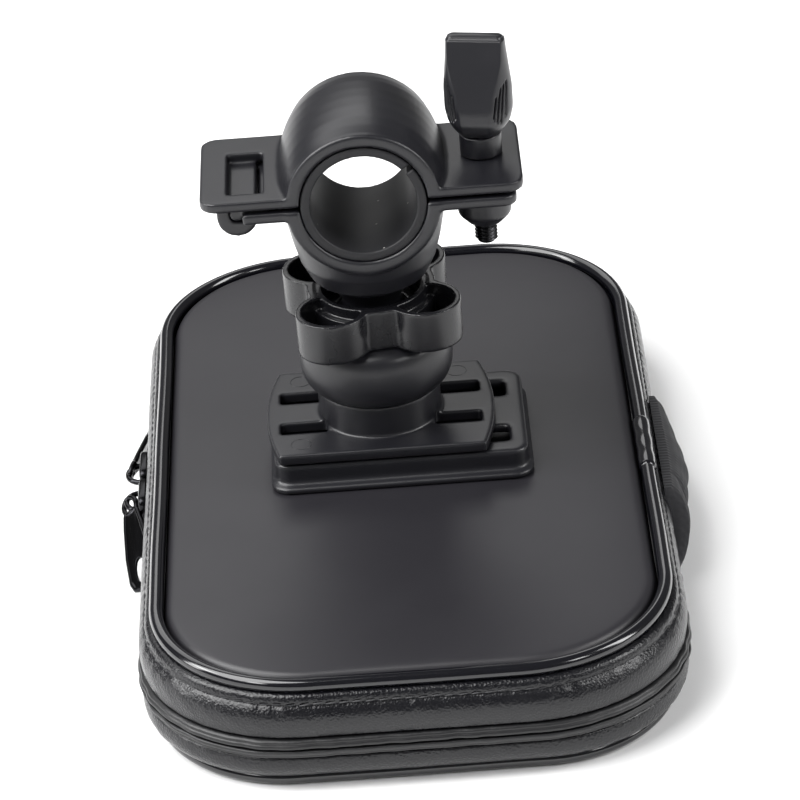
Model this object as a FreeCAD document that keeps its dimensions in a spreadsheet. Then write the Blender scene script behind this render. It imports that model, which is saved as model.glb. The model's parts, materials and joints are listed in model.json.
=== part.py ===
import FreeCAD, Part
import math
import os
import re
import Sketcher

# Bicycle phone bag on a handlebar clamp. Millimetres, +Z up, +Y along the bar bore, origin in the
# middle of that bore. Three build frames are used, all with the same directions:
#   bag frame    origin on the rest surface, under the middle of the bag
#   stack frame  origin on the rest surface, under the bore (adapter, socket, ring nut)
#   bore frame   the row's own frame (clamp jaws, thumb screw)

SIZES = [
    # bag
    ("bag_width", 107), ("bag_length", 180), ("corner_radius", 33), ("bag_shift", 3.8),
    ("bore_height", 90.5), ("bead_radius", 1.45), ("frame_thick", 3.2), ("window_width", 78),
    ("window_length", 148), ("window_corner", 9), ("panel_thick", 0.6), ("panel_lap", 3),
    ("wall_bulge", 2.2), ("wall_thick", 3.7), ("coil_bulge", 2.8), ("coil_thick", 3),
    ("lower_wall_height", 5.5), ("coil_height", 1.95), ("slit", 0.3), ("upper_wall_height", 9),
    ("shell_flange", 1.3), ("shell_dome", 1.8), ("groove", 1.3), ("dome_round", 1.2),
    ("splice_length", 20), ("splice_y", -6), ("splice_wall", 0.5),
    ("fabric_thick", 5.7), ("fabric_length", 39), ("fabric_y", -2), ("fabric_low", 3.4),
    # zip sliders and pullers
    ("slider_length", 11.4), ("slider_height", 8.4), ("slider_thick", 1.5), ("slider_gap", 0.3),
    ("slider_join", 12.2), ("bridge_width", 2.4), ("bridge_length", 6.4), ("bridge_thick", 1),
    ("eye_radius", 0.7), ("eye_length", 6.4), ("puller_length", 27), ("puller_width", 7.4),
    ("puller_thick", 1.2), ("puller_start", 4.6), ("puller_droop", 12.5), ("puller_lean", 6),
    # receiver plate on the bag and the four-claw adapter
    ("base_length", 54.2), ("base_width", 35), ("base_height", 6.2), ("base_lid", 2.2),
    ("base_wall", 2), ("skirt_x", 1), ("skirt_y", 2), ("skirt_height", 1.6), ("base_corner", 3.5),
    ("claw_front", 17.5), ("claw_back", -15.5), ("claw_y", 11.1), ("claw_stem", 2.2),
    ("claw_length", 5), ("foot_width", 5.2), ("foot_thick", 1.4), ("claw_travel", 6),
    ("claw_gap", 0.35), ("adapter_gap", 0.3), ("adapter_thick", 2.5), ("adapter_length", 49),
    ("adapter_width", 35.8), ("bow_radius", 63), ("vent_width", 4.2), ("vent_y", 6.4),
    ("vent_outer", 21.5), ("vent_inner", 11.5), ("boss_radius", 13.1), ("boss_height", 7.3),
    # socket, ball and ring nut
    ("bowl_radius", 16.2), ("thread_radius", 11.9), ("ball_radius", 9), ("ball_drop", 36.5),
    ("ball_gap", 0.06), ("seat_radius", 10.4), ("seat_gap", 0.1), ("seat_top", 5.2),
    ("seat_slit", 1), ("ring_bottom", 35), ("ring_height", 9), ("ring_floor", 1.5),
    ("ring_wall", 1.3), ("lobe_radius", 7.6), ("lobe_centre", 14), ("valley_radius", 13.5),
    ("lobe_turn", 7.5), ("collar_radius", 10.5), ("collar_wall", 1.3), ("nut_bore", 12),
    ("nut_bore_height", 5.2), ("lobe_blend", 2),
    # clamp
    ("bore_radius", 11), ("liner_thick", 2.05), ("jaw_length", 31), ("rim_radius", 16),
    ("barrel_radius", 17.5), ("jaw_gap", 0.7), ("flange_thick", 2.3), ("flange_width", 30.6),
    ("tab_left", 33.6), ("tab_right", 33), ("tongue_left", 25), ("tongue_right", 31.5),
    ("cap_clearance", 0.15), ("hook_x", 26.2), ("hook_radius", 4.2), ("hook_drop", 3.4),
    ("bead_drop", 2.6), ("hinge_bead", 1.6), ("hinge_gap", 0.06), ("hook_front", -10.3),
    ("hook_length", 17.3), ("floor_drop", 0.7), ("liner_split", 1.2), ("liner_gap", 0.05),
    ("split_angle", 35),
    # thumb screw
    ("screw_x", 25), ("screw_radius", 2.4), ("screw_tip", 17.8), ("screw_top", 22),
    ("nut_flats", 8), ("nut_thick", 4), ("nut_boss", 6.2), ("nut_boss_tip", 3.4),
    ("nut_boss_depth", 13.2), ("cap_hole", 3.3), ("bushing_radius", 4.4), ("bushing_height", 4.65),
    ("bushing_lift", 0.3), ("knob_height", 22.3), ("knob_width", 12.4), ("knob_depth", 15),
]

doc = FreeCAD.newDocument("phone_mount")
sheet = doc.addObject("Spreadsheet::Sheet", "Sizes")
for row, (alias, value) in enumerate(SIZES, start=1):
    sheet.set(f"A{row}", alias)
    sheet.set(f"B{row}", str(value))
    sheet.setAlias(f"B{row}", alias)
doc.recompute()
VALUE = {alias: float(getattr(sheet, alias)) for alias, _ in SIZES}


def sz(text):
    """Turn words such as "bag_width / 2" into an expression on the sheet."""
    return re.sub(r"[a-z]\w*", lambda word: f"Sizes.{word[0]}" if word[0] in VALUE else word[0], text)


def number(text):
    """The present value of such an expression."""
    result = sheet.evalExpression(sz(text))
    return float(getattr(result, "Value", result))


def bind(thing, **sizes):
    """Bind properties to expressions; a double underscore stands for a dot."""
    for prop, text in sizes.items():
        thing.setExpression(prop.replace("__", "."), sz(text))


# Heights above the rest surface that several pieces share.
LOWER_WALL_TOP = "( frame_thick + lower_wall_height )"
LID_BOTTOM = "( frame_thick + lower_wall_height + coil_height + slit )"
UPPER_WALL_BOTTOM = "( frame_thick + lower_wall_height + 2 * coil_height + slit )"
UPPER_WALL_TOP = "( frame_thick + lower_wall_height + 2 * coil_height + slit + upper_wall_height )"
SHELL_TOP = f"( {UPPER_WALL_TOP} + shell_flange + shell_dome )"
BASE_TOP = f"( {SHELL_TOP} + base_height )"
ADAPTER_BOTTOM = f"( {BASE_TOP} + adapter_gap )"
ADAPTER_TOP = f"( {ADAPTER_BOTTOM} + adapter_thick )"
BOSS_TOP = f"( {ADAPTER_TOP} + boss_height )"
BALL_CENTRE = "( bore_height - ball_drop )"
RING_BOTTOM = "( bore_height - ring_bottom )"
COIL_OUTER = "( bag_width / 2 + coil_bulge )"


# ---------------------------------------------------------------- sketch and solid helpers
def plane(body, role):
    return next(f for f in body.Origin.OriginFeatures if f.Role == role)


def sketch_on(body, name, role, offset=None):
    sketch = body.newObject("Sketcher::SketchObject", name)
    sketch.AttachmentSupport = [(plane(body, role), "")]
    sketch.MapMode = "FlatFace"
    if offset:
        bind(sketch, AttachmentOffset__Base__z=offset)
    return sketch


def name_distance(sketch, axis, geometry, position, text):
    index = sketch.addConstraint(
        Sketcher.Constraint("Distance" + axis, -1, 1, geometry, position, number(text)))
    label = f"{axis.lower()}{geometry}_{position}"
    sketch.renameConstraint(index, label)
    sketch.setExpression(f"Constraints.{label}", sz(text))


def polygon(sketch, points):
    """A closed loop of lines whose corners are tied to the sheet."""
    first, count = sketch.GeometryCount, len(points)
    spots = [FreeCAD.Vector(number(x), number(y), 0) for x, y in points]
    for i in range(count):
        sketch.addGeometry(Part.LineSegment(spots[i], spots[(i + 1) % count]), False)
    for i in range(count):
        sketch.addConstraint(Sketcher.Constraint(
            "Coincident", first + i, 2, first + (i + 1) % count, 1))
    for i, (x, y) in enumerate(points):
        name_distance(sketch, "X", first + i, 1, x)
        name_distance(sketch, "Y", first + i, 1, y)


def rounded_loop(sketch, half_x, half_y, radius):
    """A closed rounded rectangle about the sketch origin, tied to the sheet."""
    a, b, r = number(half_x), number(half_y), number(radius)
    first = sketch.GeometryCount
    corners = [(1, 1), (-1, 1), (-1, -1), (1, -1)]
    for i, (sx, sy) in enumerate(corners):
        centre = FreeCAD.Vector(sx * (a - r), sy * (b - r), 0)
        start = i * math.pi / 2
        arc = Part.ArcOfCircle(Part.Circle(centre, FreeCAD.Vector(0, 0, 1), r),
                               start, start + math.pi / 2)
        sketch.addGeometry(arc, False)
    ends = [((-(a - r), b), (a - r, b)), ((-a, -(b - r)), (-a, b - r)),
            ((a - r, -b), (-(a - r), -b)), ((a, b - r), (a, -(b - r)))]
    for start, end in ends:
        sketch.addGeometry(Part.LineSegment(FreeCAD.Vector(*end, 0), FreeCAD.Vector(*start, 0)), False)
    for i in range(4):
        arc, line, following = first + i, first + 4 + i, first + (i + 1) % 4
        sketch.addConstraint(Sketcher.Constraint("Coincident", arc, 2, line, 1))
        sketch.addConstraint(Sketcher.Constraint("Coincident", line, 2, following, 1))
    for i, (sx, sy) in enumerate(corners):
        name_distance(sketch, "X", first + i, 3, f"{sx} * ( {half_x} - {radius} )")
        name_distance(sketch, "Y", first + i, 3, f"{sy} * ( {half_y} - {radius} )")
    for i, (sx, sy) in enumerate(corners):
        # each arc starts on one side line and ends on the next
        if i % 2 == 0:
            name_distance(sketch, "X", first + i, 1, f"{sx} * {half_x}")
            name_distance(sketch, "Y", first + i, 1, f"{sy} * ( {half_y} - {radius} )")
            name_distance(sketch, "X", first + i, 2, f"{sx} * ( {half_x} - {radius} )")
        else:
            name_distance(sketch, "Y", first + i, 1, f"{sy} * {half_y}")
            name_distance(sketch, "X", first + i, 1, f"{sx} * ( {half_x} - {radius} )")
            name_distance(sketch, "Y", first + i, 2, f"{sy} * ( {half_y} - {radius} )")


def new_body(name):
    return doc.addObject("PartDesign::Body", name)


def pad(body, sketch, length):
    feature = body.newObject("PartDesign::Pad", "Pad")
    feature.Profile = sketch
    bind(feature, Length=length)
    return feature


def pocket(body, sketch, length):
    """Cut downwards from the sketch plane and make sure that something was cut."""
    doc.recompute()
    before = body.Shape.Volume
    feature = body.newObject("PartDesign::Pocket", "Pocket")
    feature.Profile = sketch
    bind(feature, Length=length)
    doc.recompute()
    assert feature.Shape.Volume < before - 0.5, f"{body.Name}: pocket cut nothing"
    return feature


def revolved(name, role, axis, points):
    """A body made by one full turn of a polygon about a sketch axis."""
    body = new_body(name)
    sketch = sketch_on(body, name + "_profile", role)
    polygon(sketch, points)
    feature = body.newObject("PartDesign::Revolution", "Revolution")
    feature.Profile = sketch
    feature.ReferenceAxis = (sketch, [axis])
    feature.Angle = 360
    return body


def ring_body(name, half_x, half_y, radius, thick, bottom, height):
    """A wall that runs round the bag: a rounded outline less the same one moved inwards."""
    body = new_body(name)
    sketch = sketch_on(body, name + "_outline", "XY_Plane", bottom)
    rounded_loop(sketch, half_x, half_y, radius)
    rounded_loop(sketch, f"( {half_x} - {thick} )", f"( {half_y} - {thick} )",
                 f"( {radius} - {thick} )")
    pad(body, sketch, height)
    return body


def box(name, x, y, z, at):
    """A Part box from three sizes and the expressions of its low corner."""
    solid = doc.addObject("Part::Box", name)
    bind(solid, Length=x, Width=y, Height=z, Placement__Base__x=at[0],
         Placement__Base__y=at[1], Placement__Base__z=at[2])
    return solid


def cylinder(name, radius, height, at, along="Z"):
    solid = doc.addObject("Part::Cylinder", name)
    turn = {"Z": FreeCAD.Rotation(), "Y": FreeCAD.Rotation(FreeCAD.Vector(1, 0, 0), -90)}[along]
    solid.Placement = FreeCAD.Placement(FreeCAD.Vector(), turn)
    bind(solid, Radius=radius, Height=height, Placement__Base__x=at[0],
         Placement__Base__y=at[1], Placement__Base__z=at[2])
    return solid


def cone(name, low, high, height, at):
    solid = doc.addObject("Part::Cone", name)
    bind(solid, Radius1=low, Radius2=high, Height=height, Placement__Base__x=at[0],
         Placement__Base__y=at[1], Placement__Base__z=at[2])
    return solid


def sphere(name, radius, height):
    solid = doc.addObject("Part::Sphere", name)
    bind(solid, Radius=radius, Placement__Base__z=height)
    return solid


def fuse(name, *shapes):
    solid = doc.addObject("Part::MultiFuse", name)
    solid.Shapes = list(shapes)
    solid.Refine = True
    return solid


def common(name, *shapes):
    solid = doc.addObject("Part::MultiCommon", name)
    solid.Shapes = list(shapes)
    return solid


def cut(name, base, *tools):
    tool = tools[0] if len(tools) == 1 else fuse(name + "_tools", *tools)
    solid = doc.addObject("Part::Cut", name)
    solid.Base, solid.Tool = base, tool
    solid.Refine = True
    return solid


def upright(edge, where=lambda point: True):
    """True for a straight edge along Z whose middle passes the test."""
    line = isinstance(edge.Curve, Part.Line) and abs(edge.Curve.Direction.z) > 0.99
    return line and where(edge.CenterOfMass)


def rounded_part(name, base, radius, chosen):
    """Round the chosen edges of a Part solid."""
    doc.recompute()
    solid = doc.addObject("Part::Fillet", name)
    solid.Base = base
    r = number(radius)
    solid.Edges = [(i, r, r) for i, e in enumerate(base.Shape.Edges, 1) if chosen(e)]
    return solid


NODES = {}


def node(name, solid, frame):
    """Name a finished sub-part and move it from its build frame to the row's frame."""
    x, z = {"bag": ("bag_shift", "-1 * bore_height"), "stack": ("0", "-1 * bore_height"),
            "bore": ("0", "0")}[frame]
    bind(solid, Placement__Base__x=x, Placement__Base__z=z)
    solid.Label = name
    NODES[name] = solid


# ---------------------------------------------------------------- the bag: window half
WALL_X, WALL_Y = "( bag_width / 2 + wall_bulge )", "( bag_length / 2 + wall_bulge )"
WALL_R = "( corner_radius + wall_bulge )"
INNER_X, INNER_Y = "( bag_width / 2 - 2 * bead_radius )", "( bag_length / 2 - 2 * bead_radius )"
INNER_R = "( corner_radius - 2 * bead_radius )"


def window_side():
    frame = new_body("window_frame")
    outline = sketch_on(frame, "frame_outline", "XY_Plane")
    rounded_loop(outline, INNER_X, INNER_Y, INNER_R)
    rounded_loop(outline, "( window_width / 2 )", "( window_length / 2 )", "window_corner")
    pad(frame, outline, "frame_thick")
    node("window_frame", frame, "bag")

    panel = new_body("window_panel")
    outline = sketch_on(panel, "panel_outline", "XY_Plane", "frame_thick")
    rounded_loop(outline, "( window_width / 2 + panel_lap )", "( window_length / 2 + panel_lap )",
                 "( window_corner + panel_lap )")
    pad(panel, outline, "panel_thick")
    node("window_panel", panel, "bag")

    node("lower_wall", ring_body("lower_wall", WALL_X, WALL_Y, WALL_R, "wall_thick",
                                 "frame_thick", "lower_wall_height"), "bag")


def bead(name, height):
    """Round piping that runs round the bag's edge at the given height."""
    body = new_body(name)
    path = sketch_on(body, name + "_path", "XY_Plane", height)
    rounded_loop(path, "( bag_width / 2 - bead_radius )", "( bag_length / 2 - bead_radius )",
                 "( corner_radius - bead_radius )")
    profile = sketch_on(body, name + "_profile", "XZ_Plane")
    profile.addGeometry(Part.Circle(
        FreeCAD.Vector(number("bag_width / 2 - bead_radius"), number(height), 0),
        FreeCAD.Vector(0, 0, 1), VALUE["bead_radius"]), False)
    name_distance(profile, "X", 0, 3, "bag_width / 2 - bead_radius")
    name_distance(profile, "Y", 0, 3, height)
    index = profile.addConstraint(Sketcher.Constraint("Radius", 0, VALUE["bead_radius"]))
    profile.setExpression(f"Constraints[{index}]", sz("bead_radius"))
    sweep = body.newObject("PartDesign::AdditivePipe", "Pipe")
    sweep.Profile = profile
    sweep.Spine = (path, [f"Edge{i}" for i in range(1, 9)])
    node(name, body, "bag")


def zip_coils():
    """The two raised zip tapes, one on each wall, a narrow slit apart."""
    for name, bottom in (("lower_zip_coil", LOWER_WALL_TOP), ("upper_zip_coil", LID_BOTTOM)):
        node(name, ring_body(name, COIL_OUTER, "( bag_length / 2 + coil_bulge )",
                             "( corner_radius + coil_bulge )", "coil_thick", bottom,
                             "coil_height"), "bag")


def hinge_fabric():
    """The knit cover over the uncut side of the zip, in two halves that part at the slit."""
    halves = {"hinge_fabric_lower": ("fabric_low", f"{LOWER_WALL_TOP} + coil_height - fabric_low"),
              "hinge_fabric_upper": (LID_BOTTOM, "coil_height + upper_wall_height - 0.4")}
    for name, (bottom, height) in halves.items():
        solid = box(name + "_block", "fabric_thick", "fabric_length", height,
                    (COIL_OUTER, "fabric_y - fabric_length / 2", bottom))
        node(name, rounded_part(name, solid, "fabric_thick * 0.6",
                                lambda e: upright(e, lambda p: p.x > number(COIL_OUTER) + 1)), "bag")


# ---------------------------------------------------------------- the bag: back half
def back_side():
    shell = new_body("back_shell")
    flange = sketch_on(shell, "shell_flange_outline", "XY_Plane", UPPER_WALL_TOP)
    rounded_loop(flange, INNER_X, INNER_Y, INNER_R)
    pad(shell, flange, "shell_flange")
    doc.recompute()
    dome = sketch_on(shell, "shell_dome_outline", "XY_Plane", f"{UPPER_WALL_TOP} + shell_flange")
    rounded_loop(dome, f"( {INNER_X} - groove )", f"( {INNER_Y} - groove )",
                 f"( {INNER_R} - groove )")
    raised = pad(shell, dome, "shell_dome")
    doc.recompute()
    top = max(raised.Shape.Faces, key=lambda f: f.CenterOfMass.z)
    index = next(i for i, f in enumerate(raised.Shape.Faces, 1) if f.isSame(top))
    edge = shell.newObject("PartDesign::Fillet", "Fillet")
    edge.Base = (raised, [f"Face{index}"])
    bind(edge, Radius="dome_round")
    node("back_shell", shell, "bag")

    node("upper_wall", ring_body("upper_wall", WALL_X, WALL_Y, WALL_R, "wall_thick",
                                 UPPER_WALL_BOTTOM, "upper_wall_height"), "bag")

    middle = ("bag_width / 2 - bead_radius", "splice_y - splice_length / 2",
              f"{UPPER_WALL_TOP} + bead_radius")
    sleeve = cylinder("sleeve", "bead_radius + splice_wall", "splice_length", middle, "Y")
    core = cylinder("sleeve_core", "bead_radius", "splice_length", middle, "Y")
    keep = box("sleeve_keep", "4 * bead_radius", "splice_length", "2 * bead_radius",
               ("bag_width / 2 - 3 * bead_radius", middle[1], f"{UPPER_WALL_TOP} + bead_radius"))
    node("piping_splice", cut("piping_splice", common("sleeve_top", sleeve, keep), core), "bag")


def claw_slot(sketch, claw, side):
    """The opening for one claw: a wide entry for the foot, then a narrow run for the stem."""
    x0 = f"( {claw} - bag_shift - claw_length / 2 - claw_gap )"
    x1 = f"( {claw} - bag_shift + claw_length / 2 + 2 * claw_gap )"
    x2 = f"( {claw} - bag_shift + claw_length / 2 + claw_travel + 3 * claw_gap )"
    outer = f"( {side} * ( claw_y + claw_stem / 2 + claw_gap ) )"
    stem = f"( {side} * ( claw_y - claw_stem / 2 - claw_gap ) )"
    foot = f"( {side} * ( claw_y + claw_stem / 2 - foot_width - claw_gap ) )"
    polygon(sketch, [(x0, outer), (x0, stem), (x1, stem), (x1, foot), (x2, foot), (x2, outer)])


def base_plate():
    """Moulded receiver: a shallow box whose lid has four L-shaped slots."""
    body = new_body("base_plate")
    skirt = sketch_on(body, "skirt_outline", "XY_Plane", SHELL_TOP)
    rounded_loop(skirt, "( base_length / 2 + skirt_x )", "( base_width / 2 + skirt_y )",
                 "( base_corner + skirt_x )")
    pad(body, skirt, "skirt_height")
    upper = sketch_on(body, "base_outline", "XY_Plane", SHELL_TOP)
    rounded_loop(upper, "( base_length / 2 )", "( base_width / 2 )", "base_corner")
    pad(body, upper, "base_height")
    inside = sketch_on(body, "base_inside", "XY_Plane", f"{BASE_TOP} - base_lid")
    rounded_loop(inside, "( base_length / 2 - base_wall )", "( base_width / 2 - base_wall )",
                 "( base_corner - base_wall )")
    pocket(body, inside, "base_height - base_lid")
    slots = sketch_on(body, "claw_slots", "XY_Plane", BASE_TOP)
    for claw in ("claw_front", "claw_back"):
        for side in (1, -1):
            claw_slot(slots, claw, side)
    pocket(body, slots, "base_lid")
    node("base_plate", body, "bag")


# ---------------------------------------------------------------- zip sliders and pullers
def zip_slider(name, low):
    """A slider plate on the coil with the bridge that its puller hangs on."""
    face = f"( -1 * {COIL_OUTER} - slider_gap - slider_thick )"
    middle = f"( {low} + slider_length / 2 )"
    slit = f"( {LID_BOTTOM} - slit / 2 )"
    reach = "( slider_thick + 2 * eye_radius + 2 * slider_gap + bridge_thick + 0.6 )"
    plate = box(name + "_plate", "slider_thick", "slider_length", "slider_height",
                (face, low, f"{slit} - slider_height / 2"))
    plate = rounded_part(name + "_round", plate, "slider_thick * 0.6",
                         lambda e: not upright(e) and abs(e.CenterOfMass.x - number(face)) < 0.1)
    bridge = box(name + "_bridge", reach, "bridge_length", "bridge_width",
                 (f"{face} - {reach} + 0.4", f"{middle} - bridge_length / 2",
                  f"{slit} - bridge_width / 2"))
    eye = box(name + "_eye", f"{reach} - bridge_thick - 0.4", "bridge_length - 2 * bridge_thick",
              "bridge_width + 2", (f"{face} - {reach} + 0.4 + bridge_thick",
                                   f"{middle} - bridge_length / 2 + bridge_thick",
                                   f"{slit} - bridge_width / 2 - 1"))
    node(name, fuse(name, plate, cut(name + "_arch", bridge, eye)), "bag")


def zip_puller(name, middle, rear):
    """A folded metal tab: eye bar, two arms and a plate with a long slot in it.

    Built about its eye bar, pointing along -Y, then drooped, leaned to the wall and moved.
    """
    eye = cylinder(name + "_eye_bar", "eye_radius", "eye_length", ("0", "0", "-1 * eye_length / 2"))
    pieces = [eye]
    for side in ("1", "-1"):
        pieces.append(box(f"{name}_arm_{'upper' if side == '1' else 'lower'}", "puller_thick",
                          "puller_start + 1.5", "1",
                          ("-1 * puller_thick / 2", "-1 * puller_start - 1.5",
                           f"{side} * ( eye_length / 2 - 0.5 ) - 0.5")))
    tab = box(name + "_tab", "puller_thick", "puller_length - puller_start", "puller_width",
              ("-1 * puller_thick / 2", "-1 * puller_length", "-1 * puller_width / 2"))
    tab = rounded_part(name + "_tab_round", tab, "puller_width * 0.4",
                       lambda e: abs(e.BoundBox.XLength - VALUE["puller_thick"]) < 0.01
                       and e.CenterOfMass.y < -VALUE["puller_start"] - 1)
    slot = box(name + "_slot", "puller_thick + 2", "puller_length * 0.3", "puller_width - 3.4",
               ("-1 * puller_thick / 2 - 1", "-1 * puller_length + 1.7",
                "-1 * ( puller_width - 3.4 ) / 2"))
    solid = fuse(name, *pieces, cut(name + "_plate", tab, slot))
    droop = FreeCAD.Rotation(FreeCAD.Vector(1, 0, 0), VALUE["puller_droop"])
    lean = FreeCAD.Rotation(FreeCAD.Vector(0, 0, 1), VALUE["puller_lean"] * (-1 if rear else 1))
    end = FreeCAD.Rotation(FreeCAD.Vector(0, 0, 1), 180 if rear else 0)
    solid.Placement = FreeCAD.Placement(FreeCAD.Vector(), end.multiply(droop).multiply(lean))
    axis_x = f"( -1 * {COIL_OUTER} - 2 * slider_gap - slider_thick - eye_radius - 1 )"
    node(name, solid, "bag")
    bind(solid, Placement__Base__x=f"bag_shift + {axis_x}", Placement__Base__y=middle,
         Placement__Base__z=f"{LID_BOTTOM} - slit / 2 - bore_height")


def zips():
    front_low = "( slider_join - slider_gap / 2 - slider_length )"
    rear_low = "( slider_join + slider_gap / 2 )"
    zip_slider("front_zip_slider", front_low)
    zip_slider("rear_zip_slider", rear_low)
    zip_puller("front_zip_puller", f"{front_low} + slider_length / 2", rear=False)
    zip_puller("rear_zip_puller", f"{rear_low} + slider_length / 2", rear=True)


# ---------------------------------------------------------------- adapter, socket and ring nut
def adapter():
    """Bowed plate with four claws below and a round boss above."""
    slab = box("adapter_slab", "adapter_length", "adapter_width", "adapter_thick",
               ("-1 * adapter_length / 2", "-1 * adapter_width / 2", ADAPTER_BOTTOM))
    bows = [cylinder(f"adapter_bow_{word}", "bow_radius", "adapter_thick",
                     (f"{sign} * ( adapter_length / 2 - bow_radius )", "0", ADAPTER_BOTTOM))
            for word, sign in (("front", "1"), ("back", "-1"))]
    pieces = [common("adapter_outline", slab, *bows),
              cylinder("adapter_boss", "boss_radius", "boss_height + 0.5",
                       ("0", "0", f"{ADAPTER_TOP} - 0.5"))]
    foot_low = f"( {BASE_TOP} - base_lid - foot_thick - claw_gap )"
    for claw in ("claw_front", "claw_back"):
        for word, side in (("left", 1), ("right", -1)):
            outer = f"( {side} * ( claw_y + claw_stem / 2 ) )"
            stem_y = f"( {side} * claw_y - claw_stem / 2 )"
            foot_y = outer + (" - foot_width" if side > 0 else "")
            pieces.append(box(f"{claw}_{word}_stem", "claw_length", "claw_stem",
                              f"{ADAPTER_BOTTOM} - {foot_low} + 0.5",
                              (f"{claw} - claw_length / 2", stem_y, foot_low)))
            pieces.append(box(f"{claw}_{word}_foot", "claw_length", "foot_width", "foot_thick",
                              (f"{claw} - claw_length / 2", foot_y, foot_low)))
    vents = []
    for word, sign in (("front", 1), ("back", -1)):
        x = "vent_inner" if sign > 0 else "-1 * vent_outer"
        for side_word, side in (("left", 1), ("right", -1)):
            vents.append(box(f"vent_{word}_{side_word}", "vent_outer - vent_inner", "vent_width",
                             "adapter_thick + 2",
                             (x, f"{side} * vent_y - vent_width / 2", f"{ADAPTER_BOTTOM} - 1")))
    vents.append(cylinder("adapter_core", "boss_radius - 2.4", "boss_height + 1",
                          ("0", "0", f"{ADAPTER_TOP} + 1")))
    node("adapter_plate", cut("adapter_plate", fuse("adapter_solid", *pieces), *vents), "stack")


def socket():
    """Bowl that screws up from the adapter and holds the ball's seat in its threaded neck."""
    pocket_floor = f"( {BALL_CENTRE} - seat_radius )"
    shoulder = f"( {RING_BOTTOM} - seat_gap * 3 )"
    rim = f"( {RING_BOTTOM} + nut_bore_height - seat_gap * 3 )"
    profile = [("0", BOSS_TOP), ("boss_radius + 0.5", BOSS_TOP),
               ("bowl_radius", f"{BOSS_TOP} + 3"), ("bowl_radius", f"{BOSS_TOP} + 5.3"),
               ("bowl_radius - 1.6", f"{BOSS_TOP} + 9.9"),
               ("thread_radius + 0.7", f"{shoulder} - 0.8"), ("thread_radius + 0.7", shoulder),
               ("thread_radius", shoulder), ("thread_radius", rim),
               ("seat_radius + seat_gap", rim), ("seat_radius + seat_gap", pocket_floor),
               ("0", pocket_floor)]
    node("socket_housing", revolved("socket_housing", "XZ_Plane", "V_Axis", profile), "stack")

    bottom = f"( {pocket_floor} + seat_gap )"
    blank = cylinder("seat_blank", "seat_radius", f"{BALL_CENTRE} + seat_top - {bottom}",
                     ("0", "0", bottom))
    hollow = sphere("seat_hollow", "ball_radius + ball_gap", BALL_CENTRE)
    slits = [box("seat_slit_x", "3 * seat_radius", "seat_slit", "ball_radius",
                 ("-1.5 * seat_radius", "-1 * seat_slit / 2", f"{BALL_CENTRE} - 4")),
             box("seat_slit_y", "seat_slit", "3 * seat_radius", "ball_radius + 1",
                 ("-1 * seat_slit / 2", "-1.5 * seat_radius", f"{BALL_CENTRE} - 4"))]
    node("ball_seat", cut("ball_seat", blank, hollow, *slits), "stack")


def clover(name, lobe, valley, bottom, height):
    """Four round lobes about a round middle."""
    pieces = [cylinder(name + "_valley", valley, height, ("0", "0", bottom))]
    for quarter in range(4):
        angle = f"( lobe_turn + {45 + 90 * quarter} ) * 1 deg"
        at = (f"lobe_centre * cos( {angle} )", f"lobe_centre * sin( {angle} )", bottom)
        pieces.append(cylinder(f"{name}_lobe{quarter}", lobe, height, at))
    return fuse(name, *pieces)


def ring_nut():
    """Hollow clover grip around a threaded collar."""
    outer = clover("clover_outer", "lobe_radius", "valley_radius", RING_BOTTOM, "ring_height")
    outer = rounded_part("clover_blend", outer, "lobe_blend",
                         lambda e: upright(e, lambda p: math.hypot(p.x, p.y) < 16))
    hollow = clover("clover_hollow", "( lobe_radius - ring_wall )", "( valley_radius - ring_wall )",
                    f"{RING_BOTTOM} + ring_floor", "ring_height")
    pot = cut("clover_pot", outer, hollow)
    step = f"( {RING_BOTTOM} + nut_bore_height + 1 )"
    collar = fuse("collar", cylinder("collar_low", "nut_bore + collar_wall",
                                     "nut_bore_height + 1", ("0", "0", RING_BOTTOM)),
                  cylinder("collar_high", "collar_radius + collar_wall",
                           "ring_height - nut_bore_height - 1.3", ("0", "0", step)))
    bores = [cylinder("nut_thread", "nut_bore", "nut_bore_height + 1",
                      ("0", "0", f"{RING_BOTTOM} - 1")),
             cylinder("nut_mouth", "collar_radius", "ring_height + 1", ("0", "0", RING_BOTTOM))]
    node("ring_nut", cut("ring_nut", fuse("ring_solid", pot, collar), *bores), "stack")


# ---------------------------------------------------------------- clamp jaws
def barrel(name, bore):
    """Bulged tube about the bar, turned from one profile."""
    rim, half = "rim_radius", "jaw_length / 2"
    dome = [("rim_radius", f"{half} - 1.1"), ("rim_radius + 0.25", f"{half} - 2"),
            ("barrel_radius - 0.8", f"{half} - 4"), ("barrel_radius - 0.35", f"{half} - 7"),
            ("barrel_radius - 0.08", f"{half} - 11.5")]
    front = [(radius, f"-1 * ( {place} )") for radius, place in dome]
    profile = [(bore, f"-1 * {half}"), (rim, f"-1 * {half}"), *front, ("barrel_radius", "0"),
               *reversed(dome), (rim, half), (bore, half)]
    return revolved(name, "XY_Plane", "V_Axis", profile)


LINER_OUTER = "( bore_radius + liner_thick )"
HALF_GAP = "( jaw_gap / 2 )"
REACH = "( 2 * barrel_radius )"


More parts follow.
